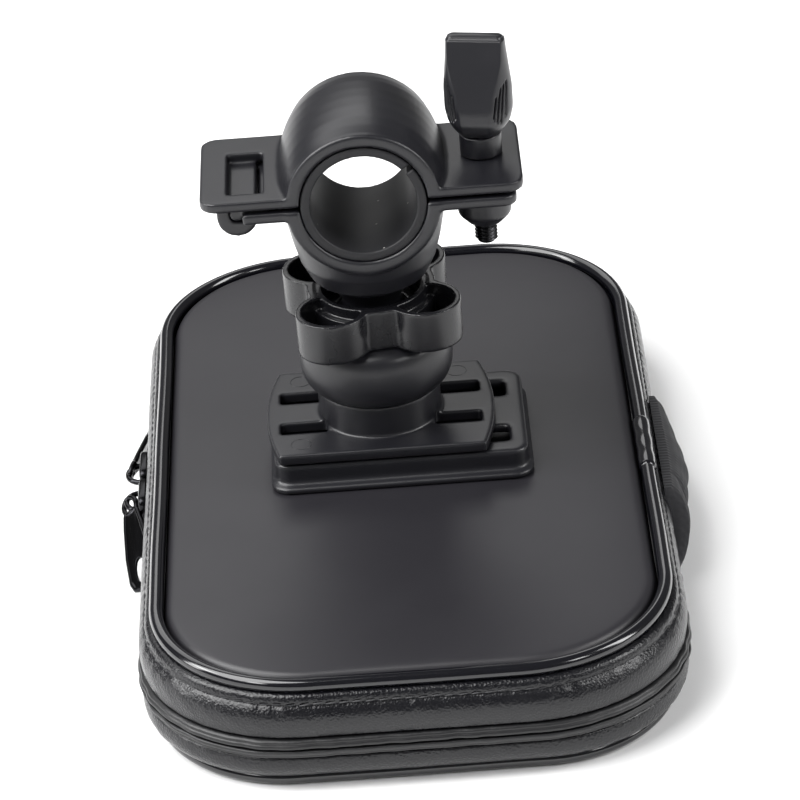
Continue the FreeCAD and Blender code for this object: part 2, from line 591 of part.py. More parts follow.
def lower_jaw():
    half = box("lower_half_space", REACH, "jaw_length + 2", "barrel_radius + 2",
               ("-1 * barrel_radius", "-1 * jaw_length / 2 - 1",
                f"-1 * {HALF_GAP} - barrel_radius - 2"))
    tube = common("lower_tube", barrel("lower_barrel", LINER_OUTER), half)
    neck_profile = [("0", "-5"), ("barrel_radius - 0.6", "-5"), ("barrel_radius - 0.9", "-9"),
                    ("barrel_radius - 1.9", "-14"), ("barrel_radius - 3.1", "-18.5"),
                    ("barrel_radius - 5.1", "-22.6"), ("ball_radius + 0.2", "-24.6"),
                    ("ball_radius - 1", "-26"), ("ball_radius - 2.8", "-28.5"),
                    ("ball_radius - 2.8", "-1 * ball_drop"), ("0", "-1 * ball_drop")]
    neck_limit = box("neck_limit", "3 * barrel_radius", "jaw_length - 0.6", "60",
                     ("-1.5 * barrel_radius", "-1 * ( jaw_length - 0.6 ) / 2", "-60"))
    neck = common("neck", revolved("neck_turned", "XZ_Plane", "V_Axis", neck_profile), neck_limit)
    ball = sphere("ball", "ball_radius", "-1 * ball_drop")

    low = f"-1 * {HALF_GAP} - flange_thick"
    right = box("tongue_right_block", "tongue_right - rim_radius + 3", "flange_width",
                "flange_thick", ("rim_radius - 3", "-1 * flange_width / 2", low))
    right = rounded_part("tongue_right_round", right, "3",
                         lambda e: upright(e, lambda p: p.x > number("rim_radius")))
    left = box("tongue_left_block", "tongue_left - rim_radius + 3", "flange_width",
               "flange_thick", ("-1 * tongue_left", "-1 * flange_width / 2", low))
    room = box("hook_room", "8", "hook_length + 0.6", "9",
               ("-1 * hook_x - 3.3", "hook_front - 0.3", "-6"))
    left = cut("tongue_left_cut", left, room)
    web = box("hinge_web", "7.2", "hook_length", "hinge_bead",
              ("-1 * hook_x", "hook_front", "-1 * bead_drop - hinge_bead / 2"))
    roll = cylinder("hinge_roll", "hinge_bead", "hook_length",
                    ("-1 * hook_x", "hook_front", "-1 * bead_drop"), "Y")
    boss = [cone("nut_boss_wall", "nut_boss - 0.6", "nut_boss", "nut_boss_depth - 4.6",
                 ("screw_x", "0", "-1 * nut_boss_depth + 2.4")),
            cone("nut_boss_end", "nut_boss_tip", "nut_boss - 0.6", "2.4",
                 ("screw_x", "0", "-1 * nut_boss_depth"))]
    bore = cylinder("liner_bore", LINER_OUTER, "jaw_length + 2",
                    ("0", "-1 * jaw_length / 2 - 1", "0"), "Y")
    shank = cylinder("shank_hole", "screw_radius + 0.2", "nut_boss_depth + 2",
                     ("screw_x", "0", "-1 * nut_boss_depth - 1"))
    hexagon = hex_prism("nut_pocket", "nut_flats + 0.2", "nut_thick + 1",
                        f"-1 * {HALF_GAP} - nut_thick - 0.2")
    solid = fuse("lower_jaw_solid", tube, neck, ball, right, left, web, roll, *boss)
    node("clamp_lower", cut("clamp_lower", solid, bore, shank, hexagon), "bore")


def hex_prism(name, flats, height, bottom):
    prism = doc.addObject("Part::Prism", name)
    prism.Polygon = 6
    bind(prism, Circumradius=f"( {flats} ) / sqrt( 3 )", Height=height,
         Placement__Base__x="screw_x", Placement__Base__z=bottom)
    return prism


def upper_jaw():
    cap_bore = f"( {LINER_OUTER} + cap_clearance )"
    half = box("upper_half_space", REACH, "jaw_length + 2", "barrel_radius + 2",
               ("-1 * barrel_radius", "-1 * jaw_length / 2 - 1", HALF_GAP))
    tube = common("upper_tube", barrel("upper_barrel", cap_bore), half)
    tabs = []
    for word, length, x in (("left", "tab_left", "-1 * tab_left"),
                            ("right", "tab_right", "rim_radius - 3")):
        tab = box(f"tab_{word}_block", f"{length} - rim_radius + 3", "flange_width",
                  "flange_thick", (x, "-1 * flange_width / 2", HALF_GAP))
        tabs.append(rounded_part(f"tab_{word}_round", tab, "3.5",
                                 lambda e: upright(e, lambda p: abs(p.x) > number("rim_radius"))))
    disc = cylinder("hook_disc", "hook_radius", "hook_length",
                    ("-1 * hook_x", "hook_front", "-1 * hook_drop"), "Y")
    root = box("hook_root", "hook_radius - hinge_bead - hinge_gap", "hook_length",
               f"hook_drop + {HALF_GAP} + 0.5",
               ("-1 * hook_x - hook_radius", "hook_front", "-1 * hook_drop"))
    channel = cylinder("hook_channel", "hinge_bead + hinge_gap", "hook_length + 2",
                       ("-1 * hook_x", "hook_front - 1", "-1 * bead_drop"), "Y")
    mouth = box("hook_mouth", "hook_radius + 1", "hook_length + 2", "9",
                ("-1 * hook_x", "hook_front - 1", "-1 * bead_drop - hinge_bead - hinge_gap"))
    over = box("hook_over", "hinge_bead + hinge_gap + 0.01", "hook_length + 2", "9",
               ("-1 * hook_x - hinge_bead - hinge_gap", "hook_front - 1", "-1 * bead_drop"))
    hook = cut("hook", fuse("hook_solid", disc, root), channel, mouth, over)
    window = box("tab_window", "7.4", "hook_length + 0.9", "9",
                 ("-1 * hook_x - hinge_bead - hinge_gap", "hook_front - 0.6", "-1"))
    bore = cylinder("cap_bore", cap_bore, "jaw_length + 2",
                    ("0", "-1 * jaw_length / 2 - 1", "0"), "Y")
    hole = cylinder("cap_hole_cut", "cap_hole", "12", ("screw_x", "0", "-4"))
    blank = cut("cap_blank", fuse("cap_solid", tube, *tabs), window, bore, hole)
    floor = box("window_floor", "6", "hook_length", f"floor_drop + {HALF_GAP} + 0.2",
                ("-1 * hook_x - hinge_bead - hinge_gap", "hook_front", "-1 * floor_drop"))
    node("clamp_upper", fuse("clamp_upper", blank, hook, floor), "bore")


def liner():
    """Rubber sleeve with one split in its upper right."""
    outer = cylinder("liner_outer", f"{LINER_OUTER} - liner_gap", "jaw_length - 0.6",
                     ("0", "-1 * ( jaw_length - 0.6 ) / 2", "0"), "Y")
    inner = cylinder("liner_inner", "bore_radius", "jaw_length + 2",
                     ("0", "-1 * jaw_length / 2 - 1", "0"), "Y")
    split = doc.addObject("Part::Box", "liner_split_cut")
    split.Placement = FreeCAD.Placement(
        FreeCAD.Vector(), FreeCAD.Rotation(FreeCAD.Vector(0, 1, 0), -VALUE["split_angle"]))
    bind(split, Length="rim_radius", Width="jaw_length + 2", Height="liner_split",
         Placement__Base__y="-1 * jaw_length / 2 - 1")
    node("rubber_liner", cut("rubber_liner", outer, inner, split), "bore")


# ---------------------------------------------------------------- thumb screw
def thumb_screw():
    nut = hex_prism("nut_blank", "nut_flats", "nut_thick", f"-1 * {HALF_GAP} - nut_thick - 0.15")
    thread = cylinder("nut_bore_cut", "screw_radius + 0.05", "nut_thick + 2",
                      ("screw_x", "0", f"-1 * {HALF_GAP} - nut_thick - 1"))
    node("captive_nut", cut("captive_nut", nut, thread), "bore")

    foot = f"( {HALF_GAP} + flange_thick + bushing_lift )"
    tube = cylinder("bushing_blank", "bushing_radius", "bushing_height", ("screw_x", "0", foot))
    hole = cylinder("bushing_hole", "screw_radius + 0.2", "bushing_height + 2",
                    ("screw_x", "0", f"{foot} - 1"))
    node("knob_bushing", cut("knob_bushing", tube, hole), "bore")

    bolt = cylinder("bolt_shank", "screw_radius", "screw_tip + screw_top - 0.6",
                    ("screw_x", "0", "-1 * screw_tip + 0.6"))
    tip = cone("bolt_tip", "screw_radius - 0.6", "screw_radius", "0.6",
               ("screw_x", "0", "-1 * screw_tip"))
    node("thumb_bolt", fuse("thumb_bolt", bolt, tip), "bore")

    base = f"( {foot} + bushing_height + bushing_lift )"
    front = new_body("knob_front")
    outline = sketch_on(front, "knob_front_outline", "XZ_Plane", "-1 * knob_depth")
    half = [("0.36 * knob_width", "0"), ("0.53 * knob_width", "0.13 * knob_height"),
            ("0.55 * knob_width", "0.35 * knob_height"), ("0.5 * knob_width", "0.62 * knob_height"),
            ("0.5 * knob_width", "0.96 * knob_height"), ("0.45 * knob_width", "knob_height")]
    polygon(outline, [(f"screw_x + {x}", f"{base} + {z}") for x, z in half]
            + [(f"screw_x - {x}", f"{base} + {z}") for x, z in reversed(half)])
    pad(front, outline, "2 * knob_depth")
    side = new_body("knob_side")
    outline = sketch_on(side, "knob_side_outline", "YZ_Plane", "screw_x - knob_width")
    flank = [("0.32 * knob_depth", "0"), ("0.5 * knob_depth", "0.16 * knob_height"),
             ("0.5 * knob_depth", "0.4 * knob_height"), ("0.2 * knob_depth", "0.95 * knob_height"),
             ("0.13 * knob_depth", "knob_height")]
    polygon(outline, [(y, f"{base} + {z}") for y, z in flank]
            + [(f"-1 * {y}", f"{base} + {z}") for y, z in reversed(flank)])
    pad(side, outline, "2 * knob_width")
    socket_hole = cylinder("knob_socket", "screw_radius + 0.02", f"screw_top - {base} + 0.02",
                           ("screw_x", "0", base))
    node("thumb_knob", cut("thumb_knob", common("knob_blank", front, side), socket_hole), "bore")


def main():
    window_side()
    bead("lower_piping", "frame_thick - bead_radius")
    bead("upper_piping", f"{UPPER_WALL_TOP} + bead_radius")
    zip_coils()
    hinge_fabric()
    back_side()
    base_plate()
    zips()
    adapter()
    socket()
    ring_nut()
    lower_jaw()
    upper_jaw()
    liner()
    thumb_screw()
    doc.recompute()

    for thing in doc.Objects:
        assert not {"Invalid", "Error"} & set(thing.State), f"{thing.Name}: {thing.State}"
    os.makedirs("parts", exist_ok=True)
    for name, solid in NODES.items():
        shape = solid.Shape
        assert not shape.isNull() and shape.isValid(), f"{name}: bad shape"
        shape.exportStep(f"parts/{name}.step")
        size = shape.BoundBox
        print(f"{name:20s} {shape.Volume:9.0f} mm3  solids {len(shape.Solids)}  "
              f"x {size.XMin:6.1f} {size.XMax:6.1f}  y {size.YMin:6.1f} {size.YMax:6.1f}  "
              f"z {size.ZMin:6.1f} {size.ZMax:6.1f}")


main()
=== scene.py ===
"""Looks for the phone mount: a zipped phone bag on a swivelling handlebar clamp.

Every length in this file is in metres in the row's frame, apart from names that end in _mm.
Heights "above the rest" are counted from the face the bag lies on.
"""

import json
import logging
import math
from dataclasses import dataclass
from enum import Enum

import bmesh
import bpy
import numpy as np
from mathutils import Matrix, Vector

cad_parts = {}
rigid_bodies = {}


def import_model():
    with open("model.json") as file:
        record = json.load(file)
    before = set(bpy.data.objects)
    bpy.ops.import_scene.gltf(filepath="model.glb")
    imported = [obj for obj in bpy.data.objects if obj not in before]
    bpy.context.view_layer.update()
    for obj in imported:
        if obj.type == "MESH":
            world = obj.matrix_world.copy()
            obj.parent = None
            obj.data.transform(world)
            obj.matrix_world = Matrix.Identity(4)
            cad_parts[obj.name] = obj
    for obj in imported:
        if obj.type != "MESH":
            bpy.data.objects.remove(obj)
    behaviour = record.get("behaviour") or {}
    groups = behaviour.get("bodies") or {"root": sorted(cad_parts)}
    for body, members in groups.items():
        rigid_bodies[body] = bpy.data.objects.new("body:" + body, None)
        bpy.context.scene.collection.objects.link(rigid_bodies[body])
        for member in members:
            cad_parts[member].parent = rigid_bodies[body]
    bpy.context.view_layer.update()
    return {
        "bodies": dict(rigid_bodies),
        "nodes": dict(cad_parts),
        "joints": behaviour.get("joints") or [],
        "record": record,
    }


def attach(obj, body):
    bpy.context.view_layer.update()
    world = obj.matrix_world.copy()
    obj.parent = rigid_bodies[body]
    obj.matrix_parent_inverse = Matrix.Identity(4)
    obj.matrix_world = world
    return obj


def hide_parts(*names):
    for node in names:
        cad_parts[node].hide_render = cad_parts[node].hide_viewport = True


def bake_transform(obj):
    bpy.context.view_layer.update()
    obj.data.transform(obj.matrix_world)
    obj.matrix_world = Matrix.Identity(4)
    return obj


LOG = logging.getLogger("phone_mount")
MM = 0.001
REST_Z = -0.0905
BAG_X = 0.0038
# How bright the part sees the room, and how bright the camera does.
ROOM_LEVEL = 0.15
BACKDROP_LEVEL = 1.05
# Heights above the rest of the two piping beads, where the outline is low_outline and outline.
LOW_EDGE = 0.00175
HIGH_EDGE = 0.02335
# The thumb screw: its axis and its thread.
SCREW_X_MM = 25.0
THREAD_PITCH_MM = 0.8
THREAD_CREST_MM = 2.42
THREAD_DEPTH_MM = 0.42
# The zip's sliders: the middle of each along the bag, on the line where the two tapes meet.
SLIDER_X_MM = -53.6
SLIDER_Z_MM = -79.7
SLIDER_SPOTS = (("front", 6.35, -1), ("rear", 18.05, 1))


# ------------------------------------------------------------------ colour and node helpers
def linear(colour: str) -> tuple[float, float, float, float]:
    """Turn an sRGB hex colour into Blender's linear values.

    Args:
        colour: six hex digits after a hash.

    Returns:
        Linear red, green, blue and an alpha of 1.
    """
    parts = [int(colour[i:i + 2], 16) / 255 for i in (1, 3, 5)]
    return tuple(p / 12.92 if p <= 0.04045 else ((p + 0.055) / 1.055) ** 2.4 for p in parts) + (1.0,)


def add_node(tree: bpy.types.NodeTree, kind: str, settings: dict | None = None,
             inputs: dict | None = None) -> bpy.types.Node:
    """Add one node.

    Args:
        tree: the node tree to add to.
        kind: the node's type name.
        settings: properties of the node.
        inputs: socket name or number to a value, or to an output socket that is linked in.

    Returns:
        The new node.
    """
    node = tree.nodes.new(kind)
    for name, value in (settings or {}).items():
        setattr(node, name, value)
    for name, value in (inputs or {}).items():
        if isinstance(value, bpy.types.NodeSocket):
            tree.links.new(value, node.inputs[name])
        else:
            node.inputs[name].default_value = value
    return node


class Grain(Enum):
    """The small relief that a finish carries."""

    MOULDED = "fine spark-eroded mould texture"
    LEATHER = "pressed leather cells"
    KNIT = "rows of knitted loops"
    PLAIN = "no relief beyond faint unevenness"
    DUSTY = "matte skin with specks of lint"


@dataclass(frozen=True)
class Finish:
    """One real material, described by its base values and its relief."""

    name: str
    colour: str
    roughness: float
    grain: Grain
    grain_mm: float = 0.4
    depth_mm: float = 0.02
    metallic: float = 0.0
    ior: float = 1.5
    coat: float = 0.0
    sheen: float = 0.0
    spread: float = 0.08
    alpha: float = 1.0

    def coordinates(self, tree: bpy.types.NodeTree) -> bpy.types.NodeSocket:
        """Object coordinates, in metres."""
        return add_node(tree, "ShaderNodeTexCoord").outputs["Object"]

    def relief(self, tree: bpy.types.NodeTree, place: bpy.types.NodeSocket) -> bpy.types.NodeSocket:
        """Build the height pattern of the grain.

        Args:
            tree: the material's node tree.
            place: object coordinates.

        Returns:
            A height from about 0 to 1.
        """
        per_metre = 1000.0 / self.grain_mm
        noise = add_node(tree, "ShaderNodeTexNoise", None,
                         {"Vector": place, "Scale": per_metre, "Detail": 3.0, "Roughness": 0.6})
        if self.grain is Grain.LEATHER:
            cells = add_node(tree, "ShaderNodeTexVoronoi", {"feature": "SMOOTH_F1"},
                             {"Vector": place, "Scale": per_metre * 0.6, "Smoothness": 0.35})
            return add_node(tree, "ShaderNodeMath", {"operation": "MULTIPLY_ADD"},
                            {0: noise.outputs["Fac"], 1: 0.35, 2: cells.outputs["Distance"]}).outputs[0]
        if self.grain is Grain.KNIT:
            loops = [add_node(tree, "ShaderNodeTexWave",
                              {"wave_type": "BANDS", "bands_direction": axis, "wave_profile": "SIN"},
                              {"Vector": place, "Scale": per_metre * 0.31 * scale, "Distortion": 0.6,
                               "Detail": 1.0, "Detail Scale": 2.0})
                     for axis, scale in (("Y", 0.5), ("Z", 0.35))]
            return add_node(tree, "ShaderNodeMath", {"operation": "MULTIPLY"},
                            {0: loops[0].outputs["Fac"], 1: loops[1].outputs["Fac"]}).outputs[0]
        return noise.outputs["Fac"]

    def build(self) -> bpy.types.Material:
        """Make the Blender material, once for each name."""
        made = bpy.data.materials.get(self.name)
        if made:
            return made
        made = bpy.data.materials.new(self.name)
        made.use_nodes = True
        tree = made.node_tree
        shader = tree.nodes["Principled BSDF"]
        place = self.coordinates(tree)
        shader.inputs["Metallic"].default_value = self.metallic
        shader.inputs["Coat Weight"].default_value = self.coat
        shader.inputs["Coat Roughness"].default_value = 0.12
        shader.inputs["Sheen Weight"].default_value = self.sheen
        shader.inputs["Alpha"].default_value = self.alpha
        if not self.metallic:
            shader.inputs["IOR"].default_value = self.ior
        base = linear(self.colour)
        # Handling and flow marks about 15 mm across shift the colour and the gloss a little.
        blotch = add_node(tree, "ShaderNodeTexNoise", None,
                          {"Vector": place, "Scale": 65.0, "Detail": 4.0, "Roughness": 0.55})
        shade = add_node(tree, "ShaderNodeMix", {"data_type": "RGBA"},
                         {"Factor": blotch.outputs["Fac"],
                          6: tuple(c * (1 - self.spread) for c in base[:3]) + (1,),
                          7: tuple(c * (1 + self.spread) for c in base[:3]) + (1,)})
        colour = shade.outputs[2]
        gloss = add_node(tree, "ShaderNodeMapRange", None,
                         {"Value": blotch.outputs["Fac"], "From Min": 0.3, "From Max": 0.7,
                          "To Min": max(self.roughness - 0.02, 0.03), "To Max": self.roughness + 0.02})
        if self.grain is Grain.DUSTY:
            # Lint specks about 0.3 mm across, one to a 4 mm cell, as on an unwiped rubber.
            specks = add_node(tree, "ShaderNodeTexVoronoi", {"feature": "F1"},
                              {"Vector": place, "Scale": 230.0, "Randomness": 1.0})
            near = add_node(tree, "ShaderNodeMath", {"operation": "LESS_THAN"},
                            {0: specks.outputs["Distance"], 1: 0.055})
            dusty = add_node(tree, "ShaderNodeMix", {"data_type": "RGBA"},
                             {"Factor": near.outputs[0], 6: colour, 7: linear("#8d8c88")})
            colour = dusty.outputs[2]
        tree.links.new(colour, shader.inputs["Base Color"])
        tree.links.new(gloss.outputs[0], shader.inputs["Roughness"])
        height = self.relief(tree, place)
        bump = add_node(tree, "ShaderNodeBump", None,
                        {"Height": height, "Strength": 1.0, "Distance": self.depth_mm * MM})
        tree.links.new(bump.outputs["Normal"], shader.inputs["Normal"])
        return made


# Polyurethane-coated leatherette, pressed with a fine grain: a wet-looking black with tiny glints.
LEATHERETTE = Finish("pu_leatherette", "#0d0d11", 0.28, Grain.LEATHER, 0.3, 0.1, ior=1.42, coat=0.15)
# Extruded PVC piping: smooth, deep black and glossy.
PVC_PIPING = Finish("pvc_piping", "#0b0b10", 0.13, Grain.PLAIN, 6.0, 0.02, coat=0.4)
# Thermoformed EVA with a smooth PU skin: dark grey and evenly matte.
EVA_SHELL = Finish("eva_back_skin", "#1f1e22", 0.42, Grain.MOULDED, 0.35, 0.006, spread=0.05)
# Injection-moulded ABS with a satin mould texture.
SATIN_ABS = Finish("satin_abs", "#17171b", 0.34, Grain.MOULDED, 0.3, 0.008)
# Injection-moulded nylon of the grip: a little glossier than the ABS.
GRIP_NYLON = Finish("grip_nylon", "#131316", 0.27, Grain.MOULDED, 0.5, 0.008)
# Moulded natural rubber: black, dull, and it picks up lint.
LINER_RUBBER = Finish("liner_rubber", "#0f0f13", 0.58, Grain.DUSTY, 0.25, 0.012)
# Black-oxide steel: the oxide is dark and slightly oily.
OXIDE_STEEL = Finish("black_oxide_steel", "#3a3a3c", 0.34, Grain.PLAIN, 0.5, 0.004, metallic=1.0)
# Zinc die casting under black nickel plate: dark mirror with soft edges.
BLACK_NICKEL = Finish("black_nickel_zinc", "#2b2b2d", 0.2, Grain.PLAIN, 1.2, 0.006, metallic=1.0)
# Warp-knitted polyester over foam: very matte, with a dry sheen.
KNIT = Finish("knitted_polyester", "#1b1b1e", 0.95, Grain.KNIT, 0.55, 0.10, sheen=0.06)
# Coated zip tape: black film over woven tape.
ZIP_TAPE = Finish("coated_zip_tape", "#131315", 0.42, Grain.LEATHER, 0.5, 0.04)
# Bonded nylon thread.
THREAD = Finish("nylon_thread", "#1e1e21", 0.5, Grain.PLAIN, 0.3, 0.01)
# Clear TPU film of the touch window.
CLEAR_FILM = Finish("clear_tpu_film", "#c8ced2", 0.08, Grain.PLAIN, 8.0, 0.02, alpha=0.35)


# ------------------------------------------------------------------ surfaces
@dataclass
class Surface:
    """A sheet of points on a grid, open or closed each way.

    Attributes:
        points: rows x columns x 3 array.
        close_rows: the last row joins the first.
        close_columns: the last column joins the first.
    """

    points: np.ndarray
    close_rows: bool = False
    close_columns: bool = False

    def quads(self) -> np.ndarray:
        """Corner numbers of each face of the grid, row by row."""
        rows, columns = self.points.shape[:2]
        i = np.arange(rows if self.close_rows else rows - 1)[:, None]
        j = np.arange(columns if self.close_columns else columns - 1)[None, :]
        a, b = i * columns, ((i + 1) % rows) * columns
        c, d = j, (j + 1) % columns
        return np.stack([a + c, a + d, b + d, b + c], axis=-1).reshape(-1, 4)


def piece(name: str, surfaces: list[Surface], finish: Finish,
          weld: float = 2e-6, smooth_angle: float = 40.0) -> bpy.types.Object:
    """Make one object from surfaces, with doubles merged and faces pointing outwards.

    Args:
        name: the piece's name.
        surfaces: the grids that make it up.
        finish: what it is made of.
        weld: points nearer than this are merged.
        smooth_angle: edges sharper than this many degrees stay sharp.

    Returns:
        The object, at the origin, unturned and unscaled.
    """
    corners, faces, count = [], [], 0
    for surface in surfaces:
        corners.append(surface.points.reshape(-1, 3))
        faces.append(surface.quads() + count)
        count += len(corners[-1])
    mesh = bpy.data.meshes.new(name)
    mesh.from_pydata(np.concatenate(corners).tolist(), [], np.concatenate(faces).tolist())
    work = bmesh.new()
    work.from_mesh(mesh)
    bmesh.ops.remove_doubles(work, verts=work.verts, dist=weld)
    bmesh.ops.dissolve_degenerate(work, edges=work.edges, dist=weld / 4)
    bmesh.ops.holes_fill(work, edges=work.edges, sides=0)
    bmesh.ops.recalc_face_normals(work, faces=work.faces)
    work.to_mesh(mesh)
    work.free()
    mesh.shade_smooth()
    mesh.set_sharp_from_angle(angle=math.radians(smooth_angle))
    made = bpy.data.objects.new(name, mesh)
    bpy.context.scene.collection.objects.link(made)
    made.data.materials.append(finish.build())
    LOG.info("%s: %d faces", name, len(mesh.polygons))
    return made


def ripple(along: np.ndarray, waves: int, length: float, seed: int) -> np.ndarray:
    """Smooth uneven ripple round a closed line: the mean of sines with whole-number periods.

    ripple(s) = sum over k of sin(2 pi n_k s / length + phase_k) / sqrt(waves)

    Args:
        along: distance along the line.
        waves: how many sines are added; their periods lie between 1/4 and 1 of the finest.
        length: length of the line.
        seed: number that fixes the phases.

    Returns:
        Values from about -1 to 1.
    """
    draw = np.random.default_rng(seed)
    periods = draw.integers(max(waves // 4, 1), waves + 1, size=8)
    phases = draw.uniform(0, 2 * math.pi, size=8)
    angle = 2 * math.pi * np.asarray(along)[..., None] * periods / length + phases
    return np.sin(angle).sum(axis=-1) / 4.0


@dataclass(frozen=True)
class Loop:
    """A rounded rectangle about a centre, walked anticlockwise from +X.

    Attributes:
        half_x: half its width.
        half_y: half its length.
        radius: corner radius.
        centre: its middle.
    """

    half_x: float
    half_y: float
    radius: float
    centre: tuple[float, float] = (BAG_X, 0.0)

    def length(self) -> float:
        """Its perimeter: four sides and one full circle of the corner radius."""
        a, b = self.half_x - self.radius, self.half_y - self.radius
        return 4 * (a + b) + 2 * math.pi * self.radius

    def walk(self, count: int) -> tuple[np.ndarray, np.ndarray, np.ndarray]:
        """Sample the loop evenly.

        Each point is core(s) + radius * normal(s), where core runs along the inner rectangle
        and the normal turns only while core stands on one of its corners.

        Args:
            count: number of points.

        Returns:
            Points, outward normals (both count x 2) and distance along the loop.
        """
        a, b = self.half_x - self.radius, self.half_y - self.radius
        quarter = math.pi * self.radius / 2
        runs = np.array([b, quarter, 2 * a, quarter, 2 * b, quarter, 2 * a, quarter, b])
        ends = np.concatenate([[0], np.cumsum(runs)])
        s = np.arange(count) / count * ends[-1]
        turn = np.array([0, 0, 1, 1, 2, 2, 3, 3, 4, 4]) * math.pi / 2
        angle = np.interp(s, ends, turn)
        core_x = np.interp(s, ends, [a, a, a, -a, -a, -a, -a, a, a, a])
        core_y = np.interp(s, ends, [0, b, b, b, b, -b, -b, -b, -b, 0])
        normals = np.stack([np.cos(angle), np.sin(angle)], axis=1)
        core = np.stack([core_x + self.centre[0], core_y + self.centre[1]], axis=1)
        return core + self.radius * normals, normals, s

    def carry(self, profile: np.ndarray, count: int, wobble: np.ndarray | None = None,
              low: "Loop | None" = None) -> Surface:
        """Carry a closed profile round the loop.

        point(i, j) = loop(i) + normal(i) * (profile(j).out + wobble(i, j)), height profile(j).up,
        where the loop is a mix of low at LOW_EDGE and this loop at HIGH_EDGE, by height.

        Args:
            profile: columns x 2 array of outward offset and height in the row's frame.
            count: points round the loop.
            wobble: extra outward offset, count x columns.
            low: the loop that the bag follows at its lower edge.

        Returns:
            The closed ring surface.
        """
        spots, normals, _ = self.walk(count)
        below, below_normals, _ = (low or self).walk(count)
        share = np.clip((profile[:, 1] - REST_Z - LOW_EDGE) / (HIGH_EDGE - LOW_EDGE), 0, 1)[None, :, None]
        spot = spots[:, None] * share + below[:, None] * (1 - share)
        normal = normals[:, None] * share + below_normals[:, None] * (1 - share)
        out = profile[None, :, 0] + (np.zeros((count, 1)) if wobble is None else wobble)
        xy = spot + normal * out[..., None]
        up = np.broadcast_to(profile[None, :, 1], out.shape)[..., None]
        return Surface(np.concatenate([xy, up], axis=2), True, True)

    def lid(self, insets: np.ndarray, heights: np.ndarray, count: int, blend_from: int) -> Surface:
        """Cover the inside of the loop with shrinking copies of it.

        The first copies step inwards along the normals; from blend_from on they shrink towards
        the middle in proportion, and the last one is the middle point.

        Args:
            insets: inward offset of each copy, or its share of the way in from blend_from on.
            heights: height of each copy.
            count: points round the loop.
            blend_from: first copy that shrinks in proportion.

        Returns:
            The open sheet, with its edge at the first copy.
        """
        spots, normals, _ = self.walk(count)
        middle = np.array(self.centre)
        edge = spots - normals * insets[blend_from - 1]
        stepped = spots[:, None] - normals[:, None] * insets[None, :blend_from, None]
        share = insets[None, blend_from:, None]
        shrunk = edge[:, None] * (1 - share) + middle * share
        xy = np.concatenate([stepped, shrunk], axis=1)
        up = np.broadcast_to(heights[None, :, None], (count, len(heights), 1))
        return Surface(np.concatenate([xy, up], axis=2), True, False)


def smooth_profile(corners: list[tuple[float, float]], rounds: int = 3, closed: bool = True) -> np.ndarray:
    """Round a polygon by cutting its corners again and again.

    Each round puts new points at 1/4 and 3/4 of every side (Chaikin's rule).

    Args:
        corners: outward offset and height in millimetres.
        rounds: how many times the corners are cut.
        closed: the last corner joins the first.

    Returns:
        The rounded outline in metres.
    """
    line = np.array(corners, float) * MM
    for _ in range(rounds):
        after = np.roll(line, -1, axis=0) if closed else line[1:]
        before = line if closed else line[:-1]
        cut = np.stack([0.75 * before + 0.25 * after, 0.25 * before + 0.75 * after], axis=1)
        inner = cut.reshape(-1, line.shape[1])
        line = inner if closed else np.concatenate([line[:1], inner, line[-1:]])
    return line


def turned(profile: np.ndarray, count: int, centre: tuple[float, float, float] = (0, 0, 0),
           axis: str = "Z") -> Surface:
    """Turn an open profile about an axis: point(i, j) = (r_j cos t_i, r_j sin t_i, h_j).

    Args:
        profile: radius and height along the axis.
        count: points round the axis.
        centre: a point on the axis.
        axis: "Z" or "Y".

    Returns:
        The turned surface, open at the profile's ends.
    """
    angle = np.arange(count) / count * 2 * math.pi
    flat = np.stack([np.outer(np.cos(angle), profile[:, 0]), np.outer(np.sin(angle), profile[:, 0]),
                     np.broadcast_to(profile[:, 1], (count, len(profile)))], axis=-1)
    if axis == "Y":
        flat = flat[..., [0, 2, 1]]
    return Surface(flat + np.array(centre), True, False)


def tube(path: np.ndarray, radius: float | np.ndarray, sides: int = 12, closed: bool = False) -> Surface:
    """A round tube along a path of points.

    Two vectors square to the path's direction carry the circle: first = direction x up, where up
    is the axis least in line with the path, and second = direction x first.

    Args:
        path: points x 3 array.
        radius: the tube's radius, or one radius per point.
        sides: points round the tube.
        closed: the path's end joins its start.

    Returns:
        The tube, its ends closed to a point when it is open.
    """
    path = np.asarray(path, float)
    radii = np.broadcast_to(np.asarray(radius, float), (len(path),)).copy()
    if closed:
        along = np.roll(path, -1, axis=0) - np.roll(path, 1, axis=0)
    else:
        along = np.gradient(path, axis=0)
        path = np.concatenate([path[:1], path, path[-1:]])
        along = np.concatenate([along[:1], along, along[-1:]])
        radii = np.concatenate([[0.0], radii, [0.0]])
    along /= np.linalg.norm(along, axis=1)[:, None]
    spread = np.abs(along).mean(axis=0)
    up = np.eye(3)[int(np.argmin(spread))]
    first = np.cross(along, up)
    first /= np.linalg.norm(first, axis=1)[:, None]
    second = np.cross(along, first)
    angle = np.arange(sides) / sides * 2 * math.pi
    ring = (np.cos(angle)[None, :, None] * first[:, None] + np.sin(angle)[None, :, None] * second[:, None])
    return Surface(path[:, None] + ring * radii[:, None, None], closed, True)


